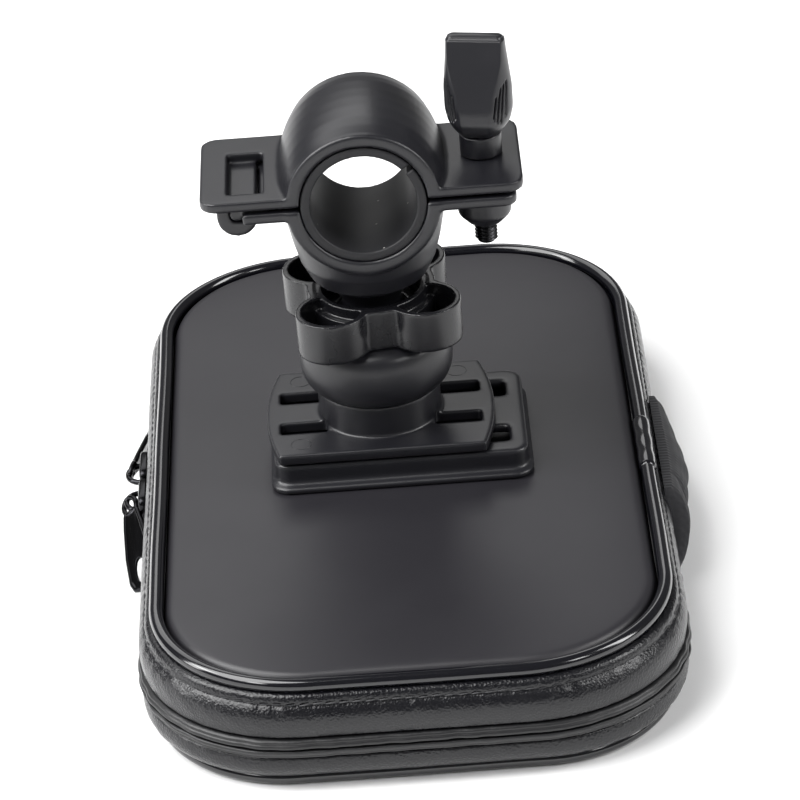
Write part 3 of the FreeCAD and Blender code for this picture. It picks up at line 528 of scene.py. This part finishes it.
def slab(outline: np.ndarray, low: float, high: float, edge: float, hole: np.ndarray | None = None,
         steps: int = 4) -> list[Surface]:
    """A flat plate with rounded edges, with or without a hole.

    The side is a quarter-circle of radius edge at each rim: inset = edge (1 - cos t),
    height = high - edge (1 - sin t).

    Args:
        outline: count x 2 points, walked anticlockwise.
        low: lower face's height.
        high: upper face's height.
        edge: radius of the rounded rim.
        hole: count x 2 points that match the outline's, for a hole.
        steps: points in each quarter-circle.

    Returns:
        The plate's surfaces.
    """
    def rims(line: np.ndarray, sign: float) -> list[np.ndarray]:
        """Copies of a line that climb the side and round both rims."""
        along = np.roll(line, -1, axis=0) - np.roll(line, 1, axis=0)
        along /= np.linalg.norm(along, axis=1)[:, None] + 1e-12
        out = np.stack([along[:, 1], -along[:, 0]], axis=1) * sign
        t = np.linspace(0, math.pi / 2, steps)
        inset = np.concatenate([edge * (1 - np.sin(t)), edge * (1 - np.cos(t))])
        height = np.concatenate([low + edge * (1 - np.cos(t)), high - edge * (1 - np.sin(t))])
        return [np.concatenate([line - out * d, np.full((len(line), 1), h)], axis=1)
                for d, h in zip(inset, height)]

    outer = rims(outline, 1.0)
    if hole is None:
        middle = outline.mean(axis=0)
        caps = [np.concatenate([np.broadcast_to(middle, outline.shape),
                                np.full((len(outline), 1), h)], axis=1) for h in (low, high)]
        return [Surface(np.stack([caps[0], *outer, caps[1]], axis=1), True, False)]
    inner = rims(hole, -1.0)
    return [Surface(np.stack([*outer, *reversed(inner)], axis=1), True, True)]


def placed(surfaces: list[Surface], matrix: np.ndarray) -> list[Surface]:
    """The same surfaces moved by a 4 x 4 matrix."""
    return [Surface(s.points @ matrix[:3, :3].T + matrix[:3, 3], s.close_rows, s.close_columns)
            for s in surfaces]


def superellipsoid(half: np.ndarray, centre: np.ndarray, power: float) -> Surface:
    """A box-like blob: each coordinate is half * sign(c) |c|^power of a sphere's coordinate c.

    Args:
        half: half sizes in millimetres.
        centre: its middle in millimetres.
        power: 1 gives an ellipsoid, near 0 a box.

    Returns:
        The closed surface.
    """
    def soft(value: np.ndarray) -> np.ndarray:
        """Push a sine or cosine towards -1 and 1."""
        return np.sign(value) * np.abs(value) ** power

    round_ = np.linspace(0, 2 * math.pi, 48, endpoint=False)[:, None]
    down = np.linspace(-1, 1, 25)[None, :] * math.pi / 2
    points = np.stack([soft(np.cos(down)) * soft(np.cos(round_)), soft(np.cos(down)) * soft(np.sin(round_)),
                       soft(np.sin(down)) + 0 * round_], axis=-1)
    return Surface((points * half + centre) * MM, True, False)


def stitches(spots: np.ndarray, along: np.ndarray, length: float, radius: float) -> list[Surface]:
    """A row of thread stitches: short spindles with r(t) = radius * sqrt(1 - t^2).

    Args:
        spots: middle of each stitch.
        along: its direction, of length 1.
        length: stitch length.
        radius: thread radius.

    Returns:
        One surface per stitch.
    """
    t = np.linspace(-1, 1, 5)
    made = []
    for spot, way in zip(spots, along):
        line = spot + np.outer(t * length / 2, way)
        made.append(tube(line, radius * np.sqrt(np.clip(1 - t ** 2, 0.12, 1)), 6))
    return made


# ------------------------------------------------------------------ the bag
@dataclass
class Bag:
    """The zipped bag: two padded halves, piping, zip and the knit hinge cover."""

    half_width: float = 53.5 * MM
    half_length: float = 90.0 * MM
    corner: float = 33.0 * MM
    low_corner: float = 28.5 * MM
    bead: float = 1.45 * MM
    slit_height: float = 10.8
    opening: Loop = Loop(39 * MM, 74 * MM, 9 * MM)
    film: Loop = Loop(42 * MM, 77 * MM, 12 * MM)
    count: int = 760

    def outline(self, inset_mm: float = 0.0) -> Loop:
        """The bag's outline, moved inwards by inset_mm."""
        d = inset_mm * MM
        return Loop(self.half_width - d, self.half_length - d, self.corner - d)

    def low_outline(self, inset_mm: float = 0.0) -> Loop:
        """The outline at the window side, whose corners are tighter."""
        d = inset_mm * MM
        return Loop(self.half_width - d, self.half_length - d, self.low_corner - d)

    def heights(self, profile: np.ndarray) -> np.ndarray:
        """Move a profile's heights from above the rest to the row's frame."""
        return profile + np.array([0.0, REST_Z])

    def wall(self, name: str, corners: list[tuple[float, float]], body: str, node: str,
             gathers: tuple[float, float, float], seed: int) -> None:
        """A padded leatherette wall with gathers along one seam.

        wobble = (gathers at the seam) * exp(-(distance / reach)^2) + slow waves in the padding

        Args:
            name: the piece's name.
            corners: its section in millimetres: outward offset, height above the rest.
            body: the body it rides on.
            node: the CAD node it stands for.
            gathers: height of the seam, reach of the gathers, their depth, in millimetres.
            seed: number that fixes the folds.
        """
        section = smooth_profile(corners, 3)
        loop = self.outline()
        _, _, s = loop.walk(self.count)
        seam, reach, depth = (g * MM for g in gathers)
        near = np.exp(-((section[:, 1] - seam) / reach) ** 2)
        outside = np.clip(section[:, 0] / (1.2 * MM), 0, 1)
        length = loop.length()
        fine = ripple(s, 230, length, seed)[:, None] * depth * (near * outside)[None]
        slow = ripple(s, 12, length, seed + 1)[:, None] * 0.16 * MM * outside[None]
        skew = ripple(s[:, None] + 1.2 * section[None, :, 1], 110, length, seed + 2) * 0.03 * MM * outside
        surface = loop.carry(self.heights(section), self.count, fine + slow + skew, self.low_outline())
        made = piece(name, [surface], LEATHERETTE, smooth_angle=70)
        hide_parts(node)
        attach(made, body)

    def walls(self) -> None:
        """The two padded walls."""
        self.wall("upper_wall_skin", [(-1.3, 13.0), (-1.3, 21.8), (-0.4, 22.3), (0.7, 21.9), (1.1, 20.9),
                                      (1.0, 20.2), (1.7, 19.6), (2.5, 18.0), (2.7, 16.0), (2.4, 14.0),
                                      (2.2, 13.1), (0.4, 12.9)],
                  "back_half", "upper_wall", (20.0, 1.5, 0.12), 11)
        self.wall("lower_wall_skin", [(-1.3, 3.4), (-1.3, 8.6), (0.4, 8.7), (2.2, 8.6), (2.5, 7.6),
                                      (2.6, 6.2), (2.2, 4.8), (1.4, 3.9), (0.7, 3.3)],
                  "window_half", "lower_wall", (4.4, 1.0, 0.06), 23)

    def piping(self) -> None:
        """Round piping with its sewn flange on both edges, and the sleeve over the splice."""
        angle = np.linspace(0, 2 * math.pi, 22, endpoint=False)
        for name, body, node, height, flange, seed in (
                ("upper_piping_bead", "back_half", "upper_piping", HIGH_EDGE, (21.1, 21.5), 5),
                ("lower_piping_bead", "window_half", "lower_piping", LOW_EDGE, (3.2, 3.6), 6)):
            ring = np.stack([np.cos(angle) * self.bead - self.bead,
                             np.sin(angle) * self.bead + height], axis=1)
            loop = self.outline()
            _, _, s = loop.walk(self.count)
            wave = ripple(s, 14, loop.length(), seed)[:, None] * 0.14 * MM
            low, high = flange
            tape = smooth_profile([(-4.5, low), (-4.5, high), (-1.0, high), (-1.0, low)], 2)
            made = piece(name, [loop.carry(self.heights(ring), self.count, wave, self.low_outline()),
                                loop.carry(self.heights(tape), self.count, None, self.low_outline())],
                         PVC_PIPING)
            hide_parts(node)
            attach(made, body)
        # The sleeve: a slightly larger tube along the straight right side, its rims rolled in.
        y = np.linspace(-16 * MM, 4 * MM, 40)
        end = np.minimum((y - y[0]), (y[-1] - y)) / MM
        radius = self.bead + 0.42 * MM * np.clip(end / 0.5, 0, 1) ** 0.5 + 0.05 * MM * np.sin(y * 900)
        path = np.stack([np.full_like(y, BAG_X + self.half_width - self.bead), y,
                         np.full_like(y, REST_Z + HIGH_EDGE)], axis=1)
        made = piece("piping_sleeve", [tube(path, radius, 24)], PVC_PIPING)
        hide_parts("piping_splice")
        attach(made, "back_half")

    def zip_tapes(self) -> None:
        """The two raised lips of the covered zip: each a folded edge with a sewn channel beside it."""
        lips = {"upper_zip_lip": ("upper_zip_coil", "back_half",
                                  [(-0.4, 10.96), (-0.4, 12.9), (2.3, 12.95), (2.9, 12.5), (2.8, 12.1),
                                   (3.15, 11.8), (3.2, 11.2), (2.8, 10.96)]),
                "lower_zip_lip": ("lower_zip_coil", "window_half",
                                  [(-0.4, 8.7), (-0.4, 10.64), (2.8, 10.64), (3.2, 10.4), (3.15, 9.8),
                                   (2.8, 9.5), (2.9, 9.1), (2.3, 8.65)])}
        for seed, (name, (node, body, corners)) in enumerate(lips.items(), 31):
            section = smooth_profile(corners, 2)
            loop = self.outline()
            _, _, s = loop.walk(self.count)
            outside = np.clip(section[:, 0] / (2 * MM), 0, 1)
            wave = ripple(s, 120, loop.length(), seed)[:, None] * 0.13 * MM * outside[None]
            lip = loop.carry(self.heights(section), self.count, wave, self.low_outline())
            made = piece(name, [lip], ZIP_TAPE, smooth_angle=60)
            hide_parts(node)
            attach(made, body)

    def back(self) -> None:
        """The moulded back: edge dives into the groove beside the piping, face is gently domed.

        height(d) = 25.05 - 1.0 exp(-d / 9) - 3.0 exp(-(d / 0.75)^1.3) in millimetres, for inset d
        """
        def rise(inset: np.ndarray) -> np.ndarray:
            """Height of the face at an inset, both in millimetres."""
            return 25.05 - 1.0 * np.exp(-inset / 9) - 3.0 * np.exp(-(inset / 0.75) ** 1.3)

        steps = np.concatenate([np.linspace(0, 3, 13), np.geomspace(3.4, 20, 16)])
        share = np.linspace(0, 1, 12)[1:]
        heights = np.concatenate([rise(steps), rise(20 + 28 * share)]) * MM + REST_Z
        loop = self.outline(2.95)
        top = loop.lid(np.concatenate([steps * MM, share]), heights, 480, len(steps))
        under = loop.lid(np.concatenate([[0.0], share]),
                         np.full(1 + len(share), REST_Z + 21.5 * MM), 480, 1)
        made = piece("moulded_back", [top, under], EVA_SHELL)
        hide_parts("back_shell")
        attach(made, "back_half")

    def seams(self) -> None:
        """Stitches just under the upper piping."""
        loop = self.outline()
        spots, normals, _ = loop.walk(int(loop.length() / (2.6 * MM)))
        spots = spots + normals * 1.25 * MM
        draw = np.random.default_rng(1)
        up = np.full((len(spots), 1), REST_Z + 20.5 * MM) + draw.normal(0, 0.1 * MM, (len(spots), 1))
        along = np.stack([-normals[:, 1], normals[:, 0], np.full(len(spots), 0.12)], axis=1)
        along /= np.linalg.norm(along, axis=1)[:, None]
        made = piece("upper_seam", stitches(np.concatenate([spots, up], axis=1), along, 1.9 * MM, 0.17 * MM),
                     THREAD)
        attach(made, "back_half")

    def window(self) -> None:
        """The welded frame and the clear window under it."""
        outer, _, _ = self.low_outline(2.9).walk(240)
        inner, _, _ = self.opening.walk(240)
        made = piece("window_surround", slab(outer, REST_Z, REST_Z + 3.2 * MM, 0.5 * MM, inner),
                     SATIN_ABS)
        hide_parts("window_frame")
        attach(made, "window_half")
        outline, _, _ = self.film.walk(160)
        made = piece("touch_window", slab(outline, REST_Z + 3.2 * MM, REST_Z + 3.8 * MM, 0.15 * MM),
                     CLEAR_FILM)
        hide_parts("window_panel")
        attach(made, "window_half")

    def hinge_cover(self) -> None:
        """The knit cover over the uncut side: a soft roll sewn down at both ends.

        u runs from -1 at the front end to 1 at the back end, v from 0 at the lower wall to 1 at
        the piping. outward = base + crown(u) * sin(pi v^0.8)^0.55 + folds
        """
        u = np.linspace(-1, 1, 190)[:, None]
        v = np.linspace(0, 1, 64)[None, :]
        # The front end leans: its lower edge reaches 12 mm further forward than its upper edge.
        y = (-2.2 + 19.0 * u) - 11.5 * (1 - v) ** 1.2 * np.clip(-u, 0, 1) ** 2 + 1.5 * np.clip(u, 0, 1) * v
        z = REST_Z / MM + 3.6 + 17.6 * v
        ends = np.clip((1 - np.abs(u)) / 0.085, 0, 1) ** 0.5
        crown = np.interp(u, [-1, -0.8, -0.45, 0, 0.45, 0.8, 1], [3.6, 4.4, 4.9, 5.3, 4.8, 3.6, 2.2])
        folds = (0.30 * np.sin(5.0 * u + 2.6 * v) - 0.55 * np.exp(-((u + 0.74 - 0.1 * v) / 0.045) ** 2)
                 - 0.40 * np.exp(-((u - 0.86) / 0.03) ** 2) + 0.14 * np.sin(17 * u + 5 * v))
        ribs = 0.035 * np.cos(u * 150) * np.clip((u - 0.55) / 0.2, 0, 1)
        bulge = np.sin(math.pi * np.clip(v, 0.01, 0.99) ** 0.85) ** 0.5
        out = 0.3 + ends * (bulge * (crown + folds) + ribs)
        # The roll's upper edge tucks in beside the piping.
        base = 57.2 + 2.6 * np.sin(math.pi * np.clip(v, 0, 1) ** 0.9 * 0.62) + 0 * u
        x = np.minimum(base + out, 67.2)
        outer = np.stack([x, y + 0 * x, z + 0 * x], axis=-1)
        inside = np.stack([base - 0.8, y + 0 * x, z + 0 * x], axis=-1)
        skin = np.concatenate([outer, inside[:, ::-1]], axis=1)
        middle = skin.mean(axis=1, keepdims=True)
        first = np.broadcast_to(middle[:1], skin[:1].shape)
        last = np.broadcast_to(middle[-1:], skin[-1:].shape)
        cover = Surface(np.concatenate([first, skin, last]) * MM, False, True)
        made = piece("knit_hinge_cover", [cover], KNIT, smooth_angle=75)
        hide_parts("hinge_fabric_lower", "hinge_fabric_upper")
        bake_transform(made)

    def build(self) -> None:
        """Make every piece of the bag."""
        self.walls()
        self.piping()
        self.zip_tapes()
        self.back()
        self.seams()
        self.window()
        self.hinge_cover()


# ------------------------------------------------------------------ the hard parts
@dataclass(frozen=True)
class Easing:
    """How a moulding's edges are eased.

    Attributes:
        cell_mm: spacing of the points that the surface is resampled on.
        rounds: how often each point moves towards the mean of its neighbours.
        keep: share of the faces that is kept.
    """

    cell_mm: float
    rounds: int
    keep: float = 0.4


@dataclass
class Hardware:
    """The clamp, its socket and the zip's metal parts.

    Attributes:
    """

    frame: dict

    def body_of(self, node: str) -> str:
        """The body that a CAD node belongs to."""
        bodies = self.frame["record"]["behaviour"]["bodies"]
        return next(name for name, nodes in bodies.items() if node in nodes)

    def eased(self, node: str, name: str, finish: Finish, easing: Easing) -> bpy.types.Object:
        """A copy of a CAD node with the soft edges of a moulding.

        The surface is resampled on an even grid, every point then moves halfway to the mean of
        its neighbours a few times, and the mesh is thinned.

        Args:
            node: the CAD node.
            name: the new piece's name.
            finish: what it is made of.
            easing: how soft the edges become.

        Returns:
            The new piece, which takes the node's place.
        """
        source = self.frame["nodes"][node]
        work = bpy.data.objects.new(name + "_work", source.data.copy())
        bpy.context.scene.collection.objects.link(work)
        sample = work.modifiers.new("sample", "REMESH")
        sample.mode, sample.voxel_size = "VOXEL", easing.cell_mm * MM
        soften = work.modifiers.new("soften", "SMOOTH")
        soften.factor, soften.iterations = 0.5, easing.rounds
        thin = work.modifiers.new("thin", "DECIMATE")
        thin.ratio = easing.keep
        shown = work.evaluated_get(bpy.context.evaluated_depsgraph_get())
        mesh = bpy.data.meshes.new_from_object(shown)
        bpy.data.objects.remove(work)
        mesh.name = name
        mesh.materials.clear()
        mesh.materials.append(finish.build())
        mesh.shade_smooth()
        made = bpy.data.objects.new(name, mesh)
        bpy.context.scene.collection.objects.link(made)
        LOG.info("%s: %d faces", name, len(mesh.polygons))
        return self.take(made, node)

    def take(self, made: bpy.types.Object, node: str) -> bpy.types.Object:
        """Put a piece in a CAD node's place and on its body."""
        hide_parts(node)
        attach(made, self.body_of(node))
        return made

    def mouldings(self) -> None:
        """Every part whose outline is right in CAD and whose edges only need easing."""
        for node, name, finish, easing in (
                ("clamp_upper", "clamp_cap", SATIN_ABS, Easing(0.33, 14, 0.5)),
                ("clamp_lower", "clamp_base", SATIN_ABS, Easing(0.33, 14, 0.5)),
                ("rubber_liner", "bar_liner", LINER_RUBBER, Easing(0.3, 6)),
                ("ring_nut", "grip_ring", GRIP_NYLON, Easing(0.28, 5, 0.5)),
                ("adapter_plate", "adapter_foot", SATIN_ABS, Easing(0.3, 13)),
                ("base_plate", "bag_socket_plate", SATIN_ABS, Easing(0.32, 40)),
                ("knob_bushing", "bushing_sleeve", SATIN_ABS, Easing(0.25, 3)),
                ("ball_seat", "ball_cup", GRIP_NYLON, Easing(0.3, 2)),
                ("captive_nut", "hexagon_nut", OXIDE_STEEL, Easing(0.2, 2))):
            self.eased(node, name, finish, easing)

    def ejector_marks(self) -> None:
        """Faint round pin marks, 4.3 mm across, on the adapter's upper face."""
        radius, face, line = 2.15, -56.52, 0.11
        turn = np.linspace(0, 2 * math.pi, 48, endpoint=False)
        rings = [np.stack([x + radius * np.cos(turn), y + radius * np.sin(turn), np.full(48, face)], axis=1)
                 for x, y in ((-17.2, 13.4), (-17.2, -13.4), (16.9, 13.4))]
        marks = [tube(ring * MM, line * MM, 6, True) for ring in rings]
        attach(piece("ejector_marks", marks, SATIN_ABS), "adapter")

    def zip_metal(self) -> None:
        """Sliders with arched bails, and folded pull tabs with a rolled rim and a slot."""
        for word, y, way in SLIDER_SPOTS:
            centre = np.array([SLIDER_X_MM, y, SLIDER_Z_MM])
            t = np.linspace(0, math.pi, 40)
            arch = np.stack([centre[0] - 3.6 * np.sin(t) ** 0.8, centre[1] + 3.6 * np.cos(t),
                             np.full_like(t, centre[2])], axis=1)
            body = superellipsoid(np.array([1.15, 5.4, 3.6]), centre + np.array([0.2, 0, 0]), 0.45)
            nose = superellipsoid(np.array([0.9, 2.6, 2.0]), centre + np.array([0.5, -way * 3.6, 0]), 0.6)
            parts = [body, nose, tube(arch * MM, 0.62 * MM, 14)]
            self.take(piece(f"{word}_slider_casting", parts, BLACK_NICKEL),
                      f"{word}_zip_slider")
            self.pull_tab(word, centre + np.array([-3.0, way * 0.4, 0.4]), way)

    def pull_tab(self, word: str, pivot: np.ndarray, way: int) -> None:
        """One pull tab that hangs from its bail.

        Args:
            word: "front" or "rear".
            pivot: where it loops round the bail, in millimetres.
            way: -1 to hang towards the front, 1 towards the rear.
        """
        along = np.array([0.13, way * 0.955, -0.265]) if way < 0 else np.array([0.15, 0.965, -0.215])
        along /= np.linalg.norm(along)
        across = np.array([0.80, 0.0, 0.60]) if way < 0 else np.array([0.25, 0.0, 0.97])
        across -= along * (across @ along)
        across /= np.linalg.norm(across)
        matrix = np.eye(4)
        matrix[:3, :3] = np.stack([across, along, np.cross(across, along)], axis=1)
        matrix[:3, 3] = pivot * MM
        # The plate's half-width grows from the loop to 3.1 mm, and its end is round.
        s = np.linspace(0, 1, 60)
        length = 3.0 + 23.0 * s
        half = np.interp(s, [0, 0.2, 0.55, 0.86, 0.95, 1.0], [1.5, 2.2, 3.0, 3.0, 2.3, 0.0])
        outline = np.concatenate([np.stack([half, length], 1), np.stack([-half, length], 1)[-2:0:-1]])
        facing = np.arctan2(outline[:, 1] - 20.6, outline[:, 0])
        slot = np.stack([1.35 * np.cos(facing), 20.6 + 3.6 * np.sin(facing)], 1)
        plate = slab(outline * MM, -0.35 * MM, 0.35 * MM, 0.12 * MM, slot * MM)
        rim = tube(np.concatenate([outline, np.zeros((len(outline), 1))], 1) * MM, 0.62 * MM, 10, True)
        ring = np.linspace(0, 2 * math.pi, 40, endpoint=False)
        loop = np.stack([1.7 * np.cos(ring), 1.4 + 2.4 * np.sin(ring), np.zeros(40)], 1)
        parts = placed([*plate, rim, tube(loop * MM, 0.6 * MM, 10, True)], matrix)
        self.take(piece(f"{word}_pull_tab", parts, BLACK_NICKEL), f"{word}_zip_puller")

    def socket(self) -> None:
        """The bowl: one smooth profile turned about the socket's axis."""
        outside = smooth_profile([(11.9, -30.1), (11.9, -34.9), (12.8, -35.4), (15.2, -36.6), (16.1, -39.0),
                                  (16.35, -42.0), (16.3, -44.6), (15.7, -46.6), (14.6, -48.2),
                                  (13.6, -48.9), (13.4, -49.2)], 3, closed=False)
        inside = np.array([(10.5, -30.1), (10.5, -46.9), (0.0, -46.9)]) * MM
        middle = np.array([(0.0, -49.2)]) * MM
        profile = np.concatenate([middle, outside[::-1], inside])
        self.take(piece("socket_bowl", [turned(profile, 128)], SATIN_ABS), "socket_housing")

    def bolt(self) -> None:
        """A rolled M5 thread.

        r(turn, z) = crest - depth * |2 fract(z / pitch - turn) - 1|^0.8, and 3 percent less above z = 9
        """
        z = np.arange(-17.2, 12.0, 0.1)
        turn = np.arange(56) / 56
        phase = np.mod(z[None, :] / THREAD_PITCH_MM - turn[:, None], 1.0)
        radius = THREAD_CREST_MM - THREAD_DEPTH_MM * np.abs(2 * phase - 1) ** 0.8
        radius *= np.where(z < 9, 1.0, 0.97)[None, :]
        ends = [(0.0, -17.8), (1.7, -17.8), (1.9, -17.5)], [(2.2, 12.1), (2.2, 22.0), (0.0, 22.0)]
        low, high = (np.broadcast_to(np.array(e)[None], (56, 3, 2)) for e in ends)
        body = np.stack([radius, np.broadcast_to(z[None], radius.shape)], axis=-1)
        rows = np.concatenate([low, body, high], axis=1) * MM
        angle = turn[:, None] * 2 * math.pi
        points = np.stack([rows[..., 0] * np.cos(angle) + SCREW_X_MM * MM,
                           rows[..., 0] * np.sin(angle), rows[..., 1]], axis=-1)
        self.take(piece("threaded_bolt", [Surface(points, True, False)], OXIDE_STEEL,
                        smooth_angle=60), "thumb_bolt")

    def knob(self) -> None:
        """The wedge knob: two leaning leaf-shaped faces between wings with finger grooves.

        At height h the half thickness is T = p(h) where |x| < w(h), and beyond it
        T = p(h) sqrt(1 - u^1.4) with u = (|x| - w) / (a - w), for leaf half-width w and half-width a.
        """
        h = np.concatenate([np.linspace(0.0, 0.95, 96), 1 - 0.05 * np.cos(np.linspace(0.15, 1.5, 10))])
        turn = np.linspace(0, 2 * math.pi, 400, endpoint=False)
        half_x = np.interp(h, [0, 0.05, 0.13, 0.25, 0.48, 0.65, 0.82, 0.95, 0.985, 1.0],
                           [4.4, 5.4, 6.5, 7.1, 7.1, 6.7, 6.3, 6.1, 5.7, 5.0])
        leaf = np.interp(h, [0, 0.1, 0.25, 0.42, 0.58, 0.75, 0.95, 1.0],
                         [2.2, 2.7, 2.9, 3.5, 4.6, 5.5, 5.6, 4.4])
        face = np.interp(h, [0, 0.07, 0.16, 0.28, 0.5, 0.75, 0.94, 0.985, 1.0],
                         [4.3, 5.6, 6.3, 6.0, 4.6, 3.0, 1.9, 1.35, 0.6])
        for values in (half_x, leaf, face):
            values[3:-3] = np.convolve(values, np.ones(7) / 7, "valid")
        x = half_x * np.cos(turn)[:, None]
        share = np.clip((np.abs(x) - leaf) / (half_x - leaf), 0, 1)
        y = face * np.sqrt(np.clip(1 - share ** 1.4, 0, 1)) * np.sign(np.sin(turn))[:, None]
        # Four grooves to a wing, each with its own length, 0.6 mm deep.
        depth = sum(0.6 * np.exp(-((share - place) / 0.045) ** 2)
                    * np.clip((h - low) / 0.03, 0, 1) * np.clip((high - h) / 0.03, 0, 1)
                    for place, low, high in ((0.3, 0.2, 0.45), (0.47, 0.16, 0.53),
                                             (0.63, 0.15, 0.56), (0.79, 0.2, 0.58)))
        x = x - np.sign(x) * depth * 0.6
        y = y - np.sign(y) * depth * 0.8
        foot, height, middle, crown = 8.0, 21.6, SCREW_X_MM + 0.1, 29.62
        z = np.broadcast_to(foot + height * h, x.shape)
        twist = math.radians(-12)
        shape = np.stack([x * math.cos(twist) - y * math.sin(twist) + middle,
                          x * math.sin(twist) + y * math.cos(twist), z], axis=-1)
        ends = [np.broadcast_to(np.array([middle, 0, level]), shape[:, :1].shape) for level in (foot, crown)]
        points = np.concatenate([ends[0], shape, ends[1]], axis=1) * MM
        self.take(piece("wing_knob", [Surface(points, True, False)], SATIN_ABS,
                        smooth_angle=48), "thumb_knob")

    def build(self) -> None:
        """Make every hard part."""
        self.mouldings()
        self.ejector_marks()
        self.zip_metal()
        self.socket()
        self.bolt()
        self.knob()


# ------------------------------------------------------------------ studio
def studio() -> None:
    """Camera, pale floor and soft lights."""
    yaw, pitch, roll = 0.0078, 0.52349, -0.07645
    ahead = Vector((-math.sin(yaw) * math.cos(pitch), math.cos(yaw) * math.cos(pitch), -math.sin(pitch)))
    right = Vector((math.cos(yaw), math.sin(yaw), 0.0))
    up = right.cross(ahead)
    side = math.cos(roll) * right + math.sin(roll) * up
    top = -math.sin(roll) * right + math.cos(roll) * up
    camera = bpy.data.objects.new("camera", bpy.data.cameras.new("camera"))
    camera.data.lens, camera.data.sensor_width = 179.8, 36.0
    camera.data.clip_end = 20.0
    turn = Matrix((side, top, -ahead)).transposed().to_4x4()
    camera.matrix_world = Matrix.Translation((0.01006, -0.7426, 0.3735)) @ turn
    bpy.context.scene.collection.objects.link(camera)
    bpy.context.scene.camera = camera

    # A dim box behind, a soft box high on the left, a small one at each front corner, and a low
    # upright strip on each side.
    for name, place, size, energy in (("back_box", (-0.35, 0.95, 0.85), (1.2, 0.6), 4.5),
                                      ("left_box", (-0.6, -0.2, 0.85), (0.9, 1.0), 21.0),
                                      ("front_left_box", (-0.7, -0.85, 0.7), (0.22, 0.3), 2.2),
                                      ("front_right_box", (0.75, -0.8, 0.7), (0.22, 0.3), 2.2),
                                      ("low_left_box", (-0.95, -0.1, 0.4), (0.25, 0.7), 5.0),
                                      ("right_box", (0.85, -0.2, 0.5), (0.25, 0.7), 6.0)):
        lamp = bpy.data.lights.new(name, "AREA")
        lamp.shape, lamp.energy = "RECTANGLE", energy
        lamp.size, lamp.size_y = size
        shown = bpy.data.objects.new(name, lamp)
        shown.location = place
        shown.rotation_euler = (Vector((0, 0, -0.06)) - Vector(place)).to_track_quat("-Z", "Y").to_euler()
        bpy.context.scene.collection.objects.link(shown)

    mesh = bpy.data.meshes.new("floor")
    mesh.from_pydata([(-6, -6, REST_Z), (6, -6, REST_Z), (6, 6, REST_Z), (-6, 6, REST_Z)], [], [(0, 1, 2, 3)])
    floor = bpy.data.objects.new("floor", mesh)
    bpy.context.scene.collection.objects.link(floor)
    paper = bpy.data.materials.new("white_paper")
    paper.use_nodes = True
    shader = paper.node_tree.nodes["Principled BSDF"]
    shader.inputs["Base Color"].default_value = linear("#f6f6f6")
    shader.inputs["Roughness"].default_value = 0.9
    mesh.materials.append(paper)

    world = bpy.data.worlds.new("studio")
    world.use_nodes = True
    tree = world.node_tree
    ground = tree.nodes["Background"]
    ground.inputs["Color"].default_value = (1, 1, 1, 1)
    # The backdrop is lit white; what the part sees of the room is dimmer.
    seen = add_node(tree, "ShaderNodeLightPath").outputs["Is Camera Ray"]
    level = add_node(tree, "ShaderNodeMapRange", None, {"Value": seen, "To Min": ROOM_LEVEL,
                                                       "To Max": BACKDROP_LEVEL})
    tree.links.new(level.outputs[0], ground.inputs["Strength"])
    bpy.context.scene.world = world
    bpy.context.scene.view_settings.view_transform = "Standard"


def main() -> None:
    """Load the part, dress it, add its soft pieces and light it."""
    logging.basicConfig(level=logging.INFO, format="%(name)s: %(message)s")
    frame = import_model()
    studio()
    Bag().build()
    Hardware(frame).build()


if __name__ == "__main__":
    main()
